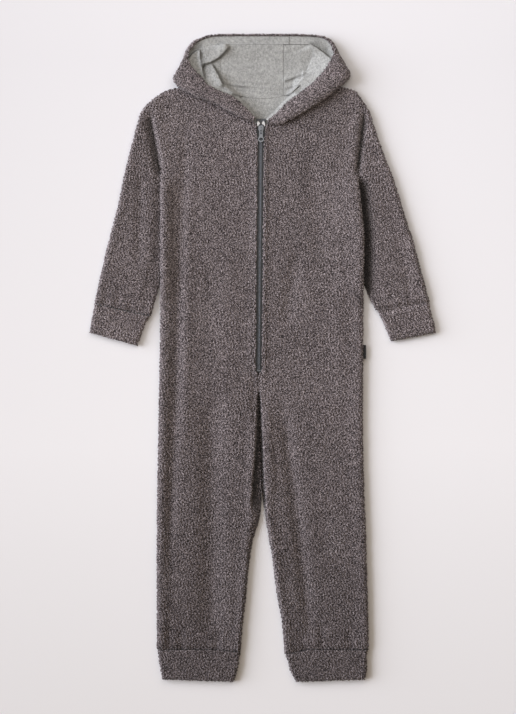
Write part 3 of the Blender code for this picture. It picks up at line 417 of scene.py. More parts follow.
# Hood, from the V over the zip round to the centre panel. Each row is a section:
# where the panel starts, the facing's inner edge, the opening's edge, the
# outermost fold, and the height of the edge and of the crest
HOOD = {
    "right": table(
        "nx ny gx gy ex ey fx fy lip crest",
        (-8.5, 1133, -8.5, 1133, -10.5, 1131.5, -15.5, 1123, 19.5, 19.8),
        (-19, 1148, -19, 1148, -22, 1146, -41, 1131, 20.8, 22),
        (-37, 1167, -37, 1167, -40, 1164, -66, 1143, 21.5, 24),
        (-55, 1181, -55, 1181, -58, 1177, -90, 1156, 22.5, 25.5),
        (-80.2, 1192, -78, 1190.5, -83, 1187, -115, 1166, 23.5, 26.5),
        (-80, 1200, -96, 1203, -104, 1199, -140, 1176, 24, 27),
        (-80, 1212, -111, 1220.5, -122, 1219, -168, 1193, 24, 26),
        (-80, 1226, -118, 1238.5, -137, 1237, -177, 1208, 23, 24.5),
        (-80, 1238, -120, 1252, -143, 1250, -171, 1222, 21, 22),
        (-80, 1249, -121, 1262, -142, 1260, -159, 1244, 19, 19.6),
        (-80, 1258, -118, 1270, -136, 1271, -150, 1268, 17, 17.4),
        (-80, 1266, -110, 1275, -125, 1282, -136, 1285, 15, 15.4),
        (-80, 1275, -101, 1277.2, -110, 1290, -115, 1294, 13.8, 14.1),
        (-80, 1284, -92, 1277.4, -96, 1293.6, -98, 1298.4, 13.2, 13.5),
        (-80.15, 1291, -80.15, 1277.5, -80.15, 1294.5, -80.15, 1299.8, 13, 13.3),
    ),
    "left": table(
        "nx ny gx gy ex ey fx fy lip crest",
        (9, 1129.5, 9, 1129.5, 11.5, 1127.5, 17, 1117, 19.5, 19.8),
        (27, 1146, 27, 1146, 30, 1143, 45, 1119, 21, 23.5),
        (48, 1168, 48, 1168, 51, 1165, 84, 1139, 24, 28),
        (66, 1183, 66, 1183, 71, 1179, 106, 1152, 26, 30.5),
        (72, 1191, 80, 1197, 93, 1196, 127, 1167, 26.5, 31),
        (60, 1182.5, 81, 1208, 112, 1213, 150, 1184, 26, 30.5),
        (45, 1177, 90, 1225, 129, 1235, 172, 1203, 25, 29),
        (45, 1192, 98, 1242, 138, 1250, 180, 1217, 23.5, 26.5),
        (45, 1212, 103, 1256, 142, 1260, 172, 1233, 21.5, 23),
        (45, 1232, 103, 1266, 141, 1269, 160, 1254, 19, 19.6),
        (45, 1250, 99, 1273, 137, 1279, 147, 1279, 16.5, 16.9),
        (45, 1262, 92, 1277, 128, 1288, 134, 1291.5, 14.6, 15),
        (45, 1275, 79, 1277.4, 110, 1293, 113, 1297.5, 13.4, 13.7),
        (45, 1284, 62, 1277.5, 75, 1294.4, 76, 1299.5, 13.1, 13.4),
        (45.15, 1291, 45.15, 1277.5, 45.15, 1294.5, 45.15, 1299.8, 13, 13.3),
    ),
}

# The X of the centre panel's two seams
HOOD_SEAM = {"right": -80.0, "left": 45.0}
# The hood's rows where its chest part ends and its centre panel's seam begins
CHEST_ROW = 3.0
PANEL_ROW = 4.0

# The lining's sides: the hood's rows they run between, the fine rows to each of these,
# the highest Y of their start, and the sizes of their grids
LINING_START = {"right": 4.25, "left": 4.05}
LINING_END = 13
LINING_FINE = 20
LINING_TOP = 1276.4
LINING_SIDE_SIZE = (80, 60)
LINING_CENTRE_SIZE = (70, 80)
# Half the gap of the lining's seams, and how far it goes under the facing and itself
LINING_SEAM = 0.2
UNDER_FACING = 3.0
UNDER_SIDE = 3.0

# How deep the opening's edge is turned down, and how far the facing tucks under it
LIP = 4.2
TUCK = 1.2
# Gaps between the hood and its lining, and between the front and the hood on it
LINING_GAP = 1.0
REST_GAP = 0.8
# Levels of the facing's inner edge on the chest, and of the back's neckline
FACING_LOW = 10.1
NECK_LEVEL = 5.3
# How far round a point the lining clears the hood's inside
COVER = 6.0
# The radius of the hood's outer fold at most, and the steps of its layer on the floor
FOLD_RADIUS = 9.0
LEG_STEPS = (1.0, 0.82, 0.66, 0.5, 0.3, 0.12, 0.0)

# The largest folds. Each runs from one point to another, with a bow sideways, as
# a ridge or, where its height is below zero, a trough
FOLDS = table(
    "x0 y0 x1 y1 bow half_width height",
    (-148, 1180, -188, 150, 0, 11, -2.6),
    (-150, 1040, -150, 440, 0, 13, 1.6),
    (-104, 860, -106, 600, 0, 16, -0.8),
    (-98, 630, -101, 30, 0, 24, -4.6),
    (-66, 930, -62, 440, 0, 17, 0.7),
    (-16, 640, -10, 500, 0, 7, -1.6),
    (76, 880, 46, 700, 0, 15, -1.9),
    (36, 600, 101, 60, 3, 13, -3.0),
    (13, 575, 22, 360, 0, 8, 1.6),
    (126, 350, 131, 250, 0, 20, -1.4),
    (150, 980, 160, 560, 0, 16, 0.8),
    (100, 1080, 118, 820, 0, 18, -1.0),
    (-241, 1040, -246, 820, 0, 9, -2.4),
    (272, 890, 300, 780, 0, 10, -1.2),
    (-186, 68, -184, 120, 0, 7, -1.2),
    (-161, 68, -159, 116, 0, 7, -1.2),
    (-88, 68, -84, 112, 0, 8, -1.2),
    (84, 68, 82, 112, 0, 8, -1.0),
    (123, 68, 120, 126, 0, 8, -1.4),
    (178, 68, 177, 110, 0, 8, -1.0),
    (-317, 745, -307, 800, 0, 6, -1.2),
    (-290, 738, -280, 792, 0, 6, -1.2),
    (-264, 730, -258, 778, 0, 6, -1.2),
    (301, 745, 292, 800, 0, 6, -1.2),
    (283, 740, 276, 792, 0, 6, -1.2),
    (263, 736, 258, 786, 0, 6, -1.2),
)

# Folds of the hood's lining, said the same way
LINING_FOLDS = table(
    "x0 y0 x1 y1 bow half_width height",
    (-128, 1262, -62, 1274, 0, 8, 3.0),
    (-74, 1210, 24, 1199, 0, 3.5, 1.7),
    (-62, 1199, 46, 1188, 0, 3.5, 1.6),
    (-30, 1187, 48, 1181, 0, 3, 1.0),
)

# Creases of the hood's inside. Each rises softly on the left of the way it runs and
# drops steeply on the right, where its shadow lies. That shadow is painted: dark is how
# much it darkens the colour, and reach is how far it spreads.
CREASES = table(
    "x0 y0 x1 y1 bow width height dark reach",
    (-107, 1240, -62, 1277, -5, 15, 6.0, 0.62, 4.5),
    (-122, 1236, -96, 1244, 0, 12, 5.0, 0.62, 4.0),
    (-111, 1203, -123, 1272, 2, 7, 3.0, 0.62, 6.0),
    (-74, 1191, -100, 1241, -2, 11, 4.5, 0.70, 4.5),
    (-120, 1269, -146, 1245, -4.5, 8, 2.4, 0.85, 2.5),
    (-112, 1275, -146, 1245, -4.5, 1, 0.0, 0.40, 14.0),
    (-117, 1229, -112, 1242, 0, 1, 0.0, 0.90, 5.0),
    (-82, 1200, -22, 1193, 0, 6, 1.2, 0.32, 3.0),
    (42, 1204, 92, 1223, -1, 9, 2.4, 0.36, 5.0),
    (44, 1189, 78, 1197, 1, 6, 0.9, 0.28, 3.5),
    (141, 1247, 92, 1283, -2.4, 12, 2.0, 0.70, 3.0),
    (141, 1247, 96, 1281, -2.4, 1, 0.0, 0.42, 14.0),
)

# Hollows of the facing, each on the right of the way it runs
HOLLOWS = table(
    "x0 y0 x1 y1 bow reach depth",
    (-116, 1271, -150, 1240, -4.5, 16, 5.0),
    (146, 1243, 92, 1283, -2.4, 16, 5.0),
)


# Shape functions


def ease(x):
    """0 to 1 as x goes from 0 to 1, level at both ends."""
    x = np.clip(x, 0.0, 1.0)
    return x * x * (3.0 - 2.0 * x)


def past(value, start, over):
    """0 up to a start, and 1 from `over` past it."""
    return ease((value - start) / over)


def before(value, end, over):
    """1 up to `over` before an end, and 0 from the end on."""
    return ease((end - value) / over)


def ridge(value, at, width):
    """1 at a place, falling off on both sides of it."""
    return np.exp(-(((value - at) / width) ** 2))


def roll(distance, radius):
    """0 on an edge, rising as a quarter circle to 1 at the radius."""
    q = np.clip(distance / radius, 0.0, 1.0)
    return np.sqrt(1.0 - (1.0 - q) ** 2)


def mix(a, b, f):
    return a + (b - a) * f


def read(rows, key, column, x):
    """A table's column at x, straight between its rows."""
    order = np.argsort(rows[key])
    return np.interp(x, rows[key][order], rows[column][order])


def smooth(rows, key, column, x):
    """A table's column at x, on a smooth curve through its rows."""
    order = np.argsort(rows[key])
    k = rows[key][order]
    v = rows[column][order]
    h = np.diff(k)
    slope = np.diff(v) / h
    m = np.concatenate([slope[:1], (slope[:-1] + slope[1:]) / 2, slope[-1:]])
    x = np.clip(x, k[0], k[-1])
    i = np.clip(np.searchsorted(k, x, side="right") - 1, 0, len(k) - 2)
    s = (x - k[i]) / h[i]
    start = (1 + 2 * s) * (1 - s) ** 2 * v[i] + s * (1 - s) ** 2 * h[i] * m[i]
    end = s * s * (3 - 2 * s) * v[i + 1] - s * s * (1 - s) * h[i] * m[i + 1]
    return start + end


def resample(rows, count):
    """The table with its rows replaced by `count` rows on smooth curves."""
    number = len(next(iter(rows.values())))
    rows = {**rows, "row": np.arange(number, dtype=float)}
    at = np.linspace(0, number - 1, count)
    return {name: smooth(rows, "row", name, at) for name in rows}


def folds(rows, x, y):
    """The height that a table of folds adds at a point."""
    return sum(row["height"] * ridge(left, 0.0, row["half_width"]) * kept
               for row, left, kept in beside(rows, x, y, FOLD_FADE))


def beside(rows, x, y, fade):
    """For each line of a table: its row, how far a point is to the left of it, and 1
    along it, falling to 0 over a share `fade` of its length at either end."""
    for values in zip(*rows.values()):
        row = dict(zip(rows, values))
        dx, dy = row["x1"] - row["x0"], row["y1"] - row["y0"]
        length = np.hypot(dx, dy)
        ux, uy = dx / length, dy / length
        s = np.clip(((x - row["x0"]) * ux + (y - row["y0"]) * uy) / length, 0.0, 1.0)
        left = (y - row["y0"]) * ux - (x - row["x0"]) * uy - 4 * row["bow"] * s * (1 - s)
        yield row, left, ease(s / fade) * ease((1 - s) / fade)


def creases(x, y):
    """The height that the creases add: a soft rise, then a steep drop."""
    rises = []
    for row, left, kept in beside(CREASES, x, y, CREASE_FADE):
        width = np.where(left > 0, row["width"], CREASE_DROP)
        rises.append(row["height"] * ridge(left, 0.0, width) * kept)
    return np.max(rises, axis=0)


def crease_shade(x, y):
    """1 deep in the shadow of a crease, and 0 in the open."""
    shades = []
    for row, left, kept in beside(CREASES, x, y, CREASE_FADE):
        width = np.where(left > 0, CREASE_LIT, row["reach"])
        shades.append(row["dark"] * ridge(left, 0.0, width) * kept)
    return np.max(shades, axis=0)


def hollows(x, y):
    """How far the facing sinks beside its creases."""
    return np.max([
        row["depth"] * past(-left, 0.0, HOLLOW_EDGE) * ridge(left, 0.0, row["reach"]) * kept
        for row, left, kept in beside(HOLLOWS, x, y, CREASE_FADE)
    ], axis=0)


def side_seam(side, y):
    return smooth(SIDE_SEAM[side], "y", "x", y)


# The body's outline and the height of its front


def middle_x(y):
    """The centre line, which leans a little as the zip does."""
    return ZIP_LEAN * (ZIP_TOP - np.asarray(y, float)) / (ZIP_TOP - ZIP_BOTTOM)


# The frame's origin in the plan, from the hinge of the zip's pull
HINGE = np.array(frame["joints"][0]["pos_m"]) / MM
ORIGIN = np.array([middle_x(SLIDER_Y) - HINGE[0], SLIDER_Y - HINGE[1], 0.0])


def outer_x(side, y):
    """The panels' outer edge: the armhole, and the side seam below it."""
    tip, arm = TIP[side], UNDERARM[side]
    armhole = np.interp(y, (arm[1], tip[1]), (arm[0], tip[0]))
    return np.where(y > arm[1], armhole, side_seam(side, y))


def zip_gap(y):
    """Half the gap between the fronts: the zip shows above, a seam below."""
    gap = mix(SEAM / 2, ZIP_EDGE, past(y, ZIP_BOTTOM - 9.0, 8.0))
    return gap + ZIP_SPREAD * past(y, ZIP_TOP - 36.0, 26.0)


def side_distance(side, x, y):
    """How far a point is inside the side seam."""
    inside = np.maximum(INWARD[side] * (x - side_seam(side, y)), 0.0)
    return np.hypot(inside, np.maximum(y - UNDERARM[side][1], 0.0))


def armhole_distance(side, x, y):
    """How far a point is from the armhole's line."""
    (tx, ty), (ax, ay) = TIP[side], UNDERARM[side]
    length = np.hypot(tx - ax, ty - ay)
    across = np.abs((x - ax) * (ty - ay) - (y - ay) * (tx - ax)) / length
    return np.hypot(across, np.maximum(ay - y, 0.0))


def inseam_x(side, y):
    return smooth(INSEAM[side], "y", "x", y)


def inseam_distance(side, x, y):
    """How far a point is inside the leg's inner seam, or from the crotch above it."""
    inside = np.maximum(INWARD[side] * (inseam_x(side, y) - x), 0.0)
    return np.hypot(inside, np.maximum(y - CROTCH, 0.0))


def inseam_roll(side, y):
    return smooth(INSEAM[side], "y", "roll", y)


def shoulder_distance(side, x, y):
    return (smooth(SHOULDER[side], "x", "y", x) - y) * SLOPE


def lifted(y):
    """1 where the body's edge lies on the sleeve, and 0 where it's on the floor."""
    return before(y, 1024.0, 36.0) * past(y, 752.0, 40.0)


def armhole_open(y):
    """1 where the armhole lies in a valley, and 0 over the top of the shoulder."""
    return past(y, 1000.0, 40.0) * before(y, VALLEY_TOP, 26.0)


def seam_height(y):
    return SEAM_HEIGHT + SEAM_LIFT * lifted(y)


def crevice(side, x, y):
    """How far the inseams sink between the legs."""
    along = before(y, CROTCH + 10.0, 14.0) * past(y, 110.0, 90.0)
    return CREVICE * along * ridge(inseam_distance(side, x, y), 0.0, 26.0)


def floor_height(side, x, y):
    """What the body's back lies on: Z = 0, and the sleeve's inner edge."""
    return LIFT * lifted(y) * (1 - past(side_distance(side, x, y), 7.0, 19.0))


def front_height(side, x, y):
    """The front's outer face, before it rolls down to a seam."""
    to_side = side_distance(side, x, y)
    to_arm = armhole_distance(side, x, y)
    to_middle = np.abs(x - middle_x(y))
    to_roll = inseam_distance(side, x, y) - inseam_roll(side, y)
    height = BASE + FOLD_DEPTH * folds(FOLDS, x, y)
    height += SIDE_RISE[side] * ridge(to_side, 10.0, 13.0) * before(y, 1040.0, 60.0)
    height += OVER_SLEEVE * lifted(y) * (1 - past(to_side, 8.0, SIDE_REACH[side]))
    height += ARMHOLE_RISE * ridge(to_arm, 15.0, 9.0) * past(y, 1000.0, 60.0)
    valley = ridge(to_arm, 0.0, VALLEY_WIDTH["front"][side]) * armhole_open(y)
    height -= VALLEY_DEPTH["front"] * valley
    height += ZIP_RISE * (1 - past(to_middle, 8.0, 16.0)) * past(y, 600.0, 20.0)
    below_zip = before(y, ZIP_BOTTOM - 4.0, 8.0) * (y > CROTCH)
    height -= MIDDLE_SEAM_DEPTH * ridge(to_middle, 0.0, 4.0) * below_zip
    height += INSEAM_RISE * ridge(to_roll, 0.0, 10.0) * before(y, CROTCH, 60.0)
    return height - ANKLE_DEPTH * ridge(y, ANKLE, 4.5)


def leg_edge(side, y):
    return read(LEG_EDGE[side], "y", "edge", y)


def front_shade(side, x, y):
    """1 deep between the legs and in the armhole's valley, and 0 in the open."""
    to_inseam = inseam_distance(side, x, y)
    dark = mix(*LEGS_SHADE, past(y, 370.0, 80.0))
    along = before(y, CROTCH + 4.0, 16.0) * past(y, 330.0, 50.0)
    shade = dark * along * (1 - past(to_inseam, leg_edge(side, y), 1.6))
    if side == "right":
        low = before(y, CROTCH, 200.0) * past(y, 130.0, 60.0)
        shade = np.maximum(shade, LOW_LEG_SHADE * low * (1 - past(to_inseam, 3.0, 6.0)))
    to_arm = armhole_distance(side, x, y)
    valley = (1 - past(to_arm, 1.0, VALLEY_WIDTH["front"][side])) * armhole_open(y)
    return np.maximum(shade, ARMHOLE_SHADE["front"][side] * valley)


def beyond_side(side, x, y):
    """How far a point is outside the side seam."""
    return INWARD[side] * (side_seam(side, y) - x)


def sleeve_shade(side, x, y):
    """1 in the shadow of the body's edge, and 0 in the open."""
    under = ARMHOLE_SHADE["edge"][side] * lifted(y) * ridge(beyond_side(side, x, y), 5.0, 14.0)
    valley = ridge(armhole_distance(side, x, y), 0.0, VALLEY_WIDTH["sleeve"][side])
    return np.maximum(under, ARMHOLE_SHADE["sleeve"][side] * valley * armhole_open(y))


# The body's panels


def body_inner(side, part, outer):
    """The neckline, the centre line and the inseam, for each station."""
    neck = (FRONT_NECK if part == "front" else BACK_NECK)[side]
    on_neck = outer > MIDDLE["outer"][0]
    y = np.where(on_neck, read(neck, "outer", "y", outer), read(MIDDLE, "outer", part, outer))
    gap = zip_gap(y) if part == "front" else SEAM / 2
    meet = LEGS_MEET * before(y, CROTCH + 4.0, 10.0) * past(y, 330.0, 80.0)
    centre = middle_x(y) - INWARD[side] * gap
    x = np.where(y > CROTCH, centre, inseam_x(side, y)) + INWARD[side] * meet
    return np.where(on_neck, read(neck, "outer", "x", outer), x), y


def across(width, start, end, roll_start, roll_end, count, end_steps=ROLL_STEPS):
    """Distances from the outer seam, close together where the panel rolls."""
    first = start + (roll_start - start) * ROLL_STEPS
    last = width - end - (roll_end - end) * end_steps[::-1]
    return np.concatenate([first, np.linspace(first[-1], last[0], count)[1:-1], last])


def body_rolls(side, x, y):
    """1 inside the panel, falling to 0 at its rolled edges."""
    to_inseam = inseam_distance(side, x, y)
    edge = leg_edge(side, y)
    steep = mix(ease(to_inseam / edge), past(to_inseam, edge, 3.5), 0.7)
    along = before(y, CROTCH, 20.0) * past(y, 335.0, 45.0)
    part = mix(roll(to_inseam, inseam_roll(side, y)), steep, along)
    part *= roll(side_distance(side, x, y), EDGE_ROLL) ** 0.7
    return part * roll(shoulder_distance(side, x, y), EDGE_ROLL)


def ankle_drop(side, x, y):
    """How far the seam of the ankle's cuff hangs below a straight one."""
    all_along, inner_end = ANKLE_DROP[side]
    from_inner = INWARD[side] * (inseam_x(side, y) - x)
    more = inner_end * (1 - past(from_inner, 0.0, 55.0))
    return (all_along + more) * ridge(y, ANKLE, 22.0)


# Sleeves and cuffs


def sleeve_height(side, x, y, to_inner):
    """The top of a laid sleeve: thin where the body's edge lies on it."""
    height = SLEEVE_HEIGHT + folds(FOLDS, x, y)
    height += OUTER_RISE * ridge(side_reach(side, x, y), 9.0, 8.0)
    valley = ridge(armhole_distance(side, x, y), 0.0, VALLEY_WIDTH["sleeve"][side])
    height -= VALLEY_DEPTH["sleeve"] * valley * before(y, VALLEY_TOP, 26.0)
    height -= CUFF_SEAM_DEPTH * ridge(cuff_distance(side, x, y), 0.0, 4.5)
    thin = (height - SLEEVE_TUCKED) * (1 - past(to_inner, 14.0, 22.0))
    height -= np.maximum(thin, 0.0) * past(y, 740.0, 40.0)
    dip = ridge(beyond_side(side, x, y), 3.0, DIP_WIDTH[side])
    return height - SLEEVE_DIP[side] * lifted(y) * dip


def cuff_distance(side, x, y):
    """How far a point of the sleeve is from the seam of its cuff."""
    edge = {name: column[-1] for name, column in SLEEVE[side].items()}
    dx, dy = edge["inner_x"] - edge["outer_x"], edge["inner_y"] - edge["outer_y"]
    return np.abs((x - edge["outer_x"]) * dy - (y - edge["outer_y"]) * dx) / np.hypot(dx, dy)


def side_reach(side, x, y):
    """How far a point of the sleeve is from the sleeve's outer edge."""
    return np.abs(x - read(SLEEVE[side], "outer_y", "outer_x", y)) * SLOPE


def tube_points(rows, height, wall, count, reach, ends):
    """Rings round a flattened tube: along the top, then back along the bottom."""
    rings = []
    for ox, oy, ix, iy, close in zip(
        rows["outer_x"], rows["outer_y"], rows["inner_x"], rows["inner_y"], ends
    ):
        width = np.hypot(ix - ox, iy - oy)
        a = across(width, wall, wall, reach[0], reach[1], count)
        x = mix(ox, ix, a / width)
        y = mix(oy, iy, a / width)
        top = height(x, y, width - a)
        mid = top / 2
        bend = roll(a - wall, reach[0] - wall) * roll(width - a - wall, reach[1] - wall)
        half = (mid - wall) * bend * close
        upper = np.stack([x, y, mid + half], axis=-1)
        lower = np.stack([x, y, mid - half], axis=-1)
        rings.append(np.concatenate([upper, lower[-2:0:-1]]))
    return np.array(rings)


# Hood


def shoulder_ramp(side, x, y):
    """1 on the shoulder and 0 on the floor beyond it."""
    nx, ny = NECK_POINT[side]
    beyond = y - smooth(SHOULDER[side], "x", "y", x)
    inside_neck = np.hypot(x - nx, y - ny)
    out = np.where(INWARD[side] * (x - nx) < 0, beyond * 0.95, inside_neck * 1.4)
    return np.clip((24.0 - out) / 18.0, 0.0, 1.0)


def neck_ramp(side, x, y):
    """1 over the front panel and 0 inside its neckline."""
    nx = NECK_POINT[side][0]
    line = read(FRONT_NECK[side], "x", "y", x)
    over = (line - y) * 0.75
    ramp = np.clip((over + 13.0) / 7.0, 0.0, 1.0)
    return np.where(INWARD[side] * (x - nx) < 0, 0.0, ramp)


# The lines of the map's grid
MAP_STEP = 2.0
MAP_X = np.arange(-220.0, 222.0, MAP_STEP)
MAP_Y = np.arange(1080.0, 1332.0, MAP_STEP)


def rest_map(side):
    """What the hood lies on, the shoulders, chest and floor, on a grid in plan."""
    x, y = np.meshgrid(MAP_X, MAP_Y)
    ramp = np.maximum(shoulder_ramp(side, x, y), neck_ramp(side, x, y))
    return (front_height(side, x, y) + REST_GAP) * ramp


REST = {side: rest_map(side) for side in SIDES}


def rest_height(side, x, y):
    """The level of the map between its grid's points."""
    u = np.clip((x - MAP_X[0]) / MAP_STEP, 0.0, len(MAP_X) - 1.001)
    v = np.clip((y - MAP_Y[0]) / MAP_STEP, 0.0, len(MAP_Y) - 1.001)
    i, j = np.asarray(u).astype(int), np.asarray(v).astype(int)
    level = REST[side]
    low = mix(level[j, i], level[j, i + 1], u - i)
    return mix(low, mix(level[j + 1, i], level[j + 1, i + 1], u - i), v - j)


def leg_height(side, x, y):
    """The inside of the hood's layer on the floor, over the folded crown."""
    return rest_height(side, x, y) + FLEECE + CROWN_RISE * past(y, 1245.0, 43.0)


def cover_height(side, x, y):
    """A level that clears the hood's inside for a few millimetres round a point."""
    turn = np.linspace(0, 2 * np.pi, 8, endpoint=False)
    near = [leg_height(side, x + COVER * np.cos(t), y + COVER * np.sin(t)) for t in turn]
    return np.max([leg_height(side, x, y), *near], axis=0) + LINING_GAP


def hood_at(row, a):
    """The point at a distance from the opening's edge: outwards, or inwards below 0."""
    out = np.array([row["fx"] - row["ex"], row["fy"] - row["ey"]])
    back = np.array([row["nx"] - row["ex"], row["ny"] - row["ey"]])
    out /= np.hypot(*out)
    back /= np.hypot(*back)
    x, y = (np.where(a >= 0, o * a, -b * a) for o, b in zip(out, back))
    return row["ex"] + x, row["ey"] + y


def chest_part(row):
    """1 for the rows over the chest, and 0 from the lining's start on."""
    return 1 - past(row["row"], CHEST_ROW, PANEL_ROW - CHEST_ROW)


def hood_row(rows, k, side):
    """One row, with its start kept on its own side of the centre panel's seam."""
    row = {name: column[k] for name, column in rows.items()}
    if row["row"] >= PANEL_ROW:
        seam = HOOD_SEAM[side] - INWARD[side] * SEAM / 2
        row["nx"] = INWARD[side] * min(INWARD[side] * row["nx"], INWARD[side] * seam)
    return row


def recess(row):
    return min(7.0, 0.22 * np.hypot(row["fx"] - row["ex"], row["fy"] - row["ey"]))


def lip_depth(side, row):
    x, y = hood_at(row, recess(row))
    return min(LIP, 0.6 * (row["lip"] - leg_height(side, x, y)))


def hood_section(side, row, chest):
    """One closed section: the floor layer, the outer fold, and the edge on top."""
    width = np.hypot(row["fx"] - row["ex"], row["fy"] - row["ey"])
    inner = recess(row)
    start = mix(-np.hypot(row["nx"] - row["ex"], row["ny"] - row["ey"]), inner - 0.8, chest)
    radius = min(FOLD_RADIUS, 0.42 * width)
    flat = width - radius
    lip, depth = row["lip"], lip_depth(side, row)
    leg, thirds = np.array(LEG_STEPS), np.array((0.33, 0.67, 1.0))

    def top(a):
        return mix(lip, row["crest"], ease(a / (0.5 * width)))

    floor = np.concatenate([mix(start, inner, leg[::-1]), mix(inner, flat, thirds)])
    bend = width - 0.29 * radius * np.array((1, 0, 1))
    crown = mix(inner, flat, thirds[::-1])
    edge = np.array((min(2.0, 0.2 * width), 0.0, min(0.8, 0.1 * width), inner))
    x, y = hood_at(row, np.concatenate([floor, bend, crown, edge, mix(start, inner, leg)]))
    z = rest_height(side, x, y)
    after_floor = len(floor)
    after_bend = after_floor + len(bend)
    after_crown = after_bend + len(crown)
    bent = slice(after_floor, after_bend)
    z[bent] = mix(z[bent], top(flat), np.array((0.15, 0.5, 0.85)))
    z[after_bend:after_crown] = top(crown)
    z[after_crown:after_crown + 4] = lip + np.array((0.1, -0.5 * depth, -depth, -depth))
    z[-len(leg):] = leg_height(side, x[-len(leg):], y[-len(leg):])
    return turned(x, y, z)


def neck_curve(x):
    """The back of the neckline, which the hood and its lining are sewn to."""
    right = read(BACK_NECK["right"], "x", "y", x)
    left = read(BACK_NECK["left"], "x", "y", x)
    return np.where(x < 0, right, left)


def facing_row(side, row):
    """The facing's points on one section of the hood, from its inner edge."""
    x1, y1 = hood_at(row, recess(row) - TUCK)
    high = row["lip"] - lip_depth(side, row) - 0.4
    reach = np.hypot(x1 - row["gx"], y1 - row["gy"])
    chest = chest_part(row)
    inner = cover_height(side, row["gx"], row["gy"])
    slope = (high - mix(inner, 8.0, chest)) / reach
    thick = min(JERSEY * np.sqrt(1 + slope**2), 2.2)
    low = mix(inner + thick, FACING_LOW, chest)
    x = mix(row["gx"], x1, FACING_STEPS)
    y = mix(row["gy"], y1, FACING_STEPS)
    z = mix(low, high, FACING_STEPS ** FACING_CURVE[side])
    cover = cover_height(side, x, y) + thick
    z = np.maximum(z, (cover + lining_relief(x, y)) * past(row["row"], 2.5, 0.5))
    z = np.minimum(z + FACING_CREASES * creases(x, y) * (1 - FACING_STEPS ** 2), high)
    sunk = z - hollows(x, y) * (1 - FACING_STEPS ** 8)
    return turned(x, y, np.maximum(sunk, np.minimum(z, cover)))


def lining_level(side, x, y):
    return cover_height(side, x, y) + JERSEY + lining_relief(x, y)


def lining_relief(x, y):
    return np.maximum(folds(LINING_FOLDS, x, y), 0.0) + creases(x, y)


# Fine grids


def turned(x, y, z):
    return np.stack(np.broadcast_arrays(x, y, z), axis=-1)


def grid_normals(points, closed):
    """Unit normals of a grid of points, from the steps to their neighbours."""
    down = np.gradient(points, axis=0)
    if closed:
        over = np.roll(points, -1, axis=1) - np.roll(points, 1, axis=1)
    else:
        over = np.gradient(points, axis=1)
    normal = np.cross(down, over)
    length = np.linalg.norm(normal, axis=-1, keepdims=True)
    return normal / np.maximum(length, 1e-9)


def plane_waves(seed, count, short, long, tilt=0.5):
    """Waves of like length that run every way, as vectors and phases."""
    rng = np.random.default_rng(seed)
    angle = rng.uniform(0, 2 * np.pi, count)
    k = 2 * np.pi / rng.uniform(short, long, count)
    rise = rng.uniform(-tilt, tilt, count) * k
    vectors = np.stack([k * np.cos(angle), k * np.sin(angle), rise], axis=1)
    return vectors, rng.uniform(0, 2 * np.pi, count)


def wave_field(waves, points):
    """The sum of a set of waves, about 1 in size, at each point."""
    total = np.zeros(points.shape[:-1])
    for vector, phase in zip(*waves):
        total += np.cos(points @ vector + phase)
    return total * np.sqrt(2.0 / len(waves[1]))


# Each has a seed, a number of waves, and their shortest and longest length
CURLS = plane_waves(11, 90, 4.4, 6.8)
CLUMPS = plane_waves(12, 40, 10.0, 22.0)


def pile_height(points):
    """0 in the pits between the curls and 1 on their tops."""
    waves = CURL_SHARE * wave_field(CURLS, points) + CLUMP_SHARE * wave_field(CLUMPS, points)
    return 0.5 + 0.5 * np.tanh(waves)


def smooth_rings(points, times):
    """Rounds closed rings off, by letting each point move between its neighbours."""
    for _ in range(times):
        points = (np.roll(points, 1, axis=1) + 2 * points + np.roll(points, -1, axis=1)) / 4
    return points


def body_stations(side, step):
    tip = TIP[side][1]
    shoulder = tip - EDGE_ROLL * ROLL_STEPS
    count = int((shoulder[-1] - ANKLE) / step) + 1
    return np.concatenate([shoulder, np.linspace(shoulder[-1], ANKLE, count)[1:]])


def body_plan(side, part, step):
    """The grid's points in plan, as arrays of x and y."""
    outer = body_stations(side, step)
    ox = outer_x(side, outer)
    ix, iy = body_inner(side, part, outer)
    width = np.hypot(ix - ox, iy - outer)
    rolls = np.where(iy > CROTCH + 8.0, NECK_ROLL, inseam_roll(side, iy))
    count = int(width.max() / step)
    tip, neck = TIP[side], NECK_POINT[side]
    xs, ys = [], []
    for k in range(len(outer)):
        u = across(width[k], 0.0, 0.0, EDGE_ROLL, rolls[k], count, INSEAM_STEPS) / width[k]
        top_x = mix(tip[0], neck[0], u)
        bow = smooth(SHOULDER[side], "x", "y", top_x) - mix(tip[1], neck[1], u)
        fade = 1 - past(tip[1] - EDGE_ROLL - outer[k], 0.0, 150.0)
        xs.append(mix(ox[k], ix[k], u))
        ys.append(mix(outer[k], iy[k], u) + bow * fade)
    return np.array(xs), np.array(ys)


def front_grid(side, step):
    x, y = body_plan(side, "front", step)
    seam = seam_height(y) - crevice(side, x, y) + SEAM / 2
    z = seam + (front_height(side, x, y) - seam) * body_rolls(side, x, y)
    to_middle = np.abs(x - middle_x(y))
    by_zip = (y > ZIP_BOTTOM - 10.0) & (y < ZIP_TOP + 1.0)
    z -= ZIP_TURN_DEPTH * by_zip * (1 - roll(to_middle - zip_gap(y), 4.0))
    z -= STITCH_DEPTH * by_zip * ridge(to_middle, STITCH_LINE[side], 1.6)
    return turned(x, y - ankle_drop(side, x, y), z)


def back_grid(side, step):
    x, y = body_plan(side, "back", step)
    seam = seam_height(y) - crevice(side, x, y) - SEAM / 2
    z = seam - (seam - floor_height(side, x, y)) * body_rolls(side, x, y)
    return turned(x, y - ankle_drop(side, x, y), z)


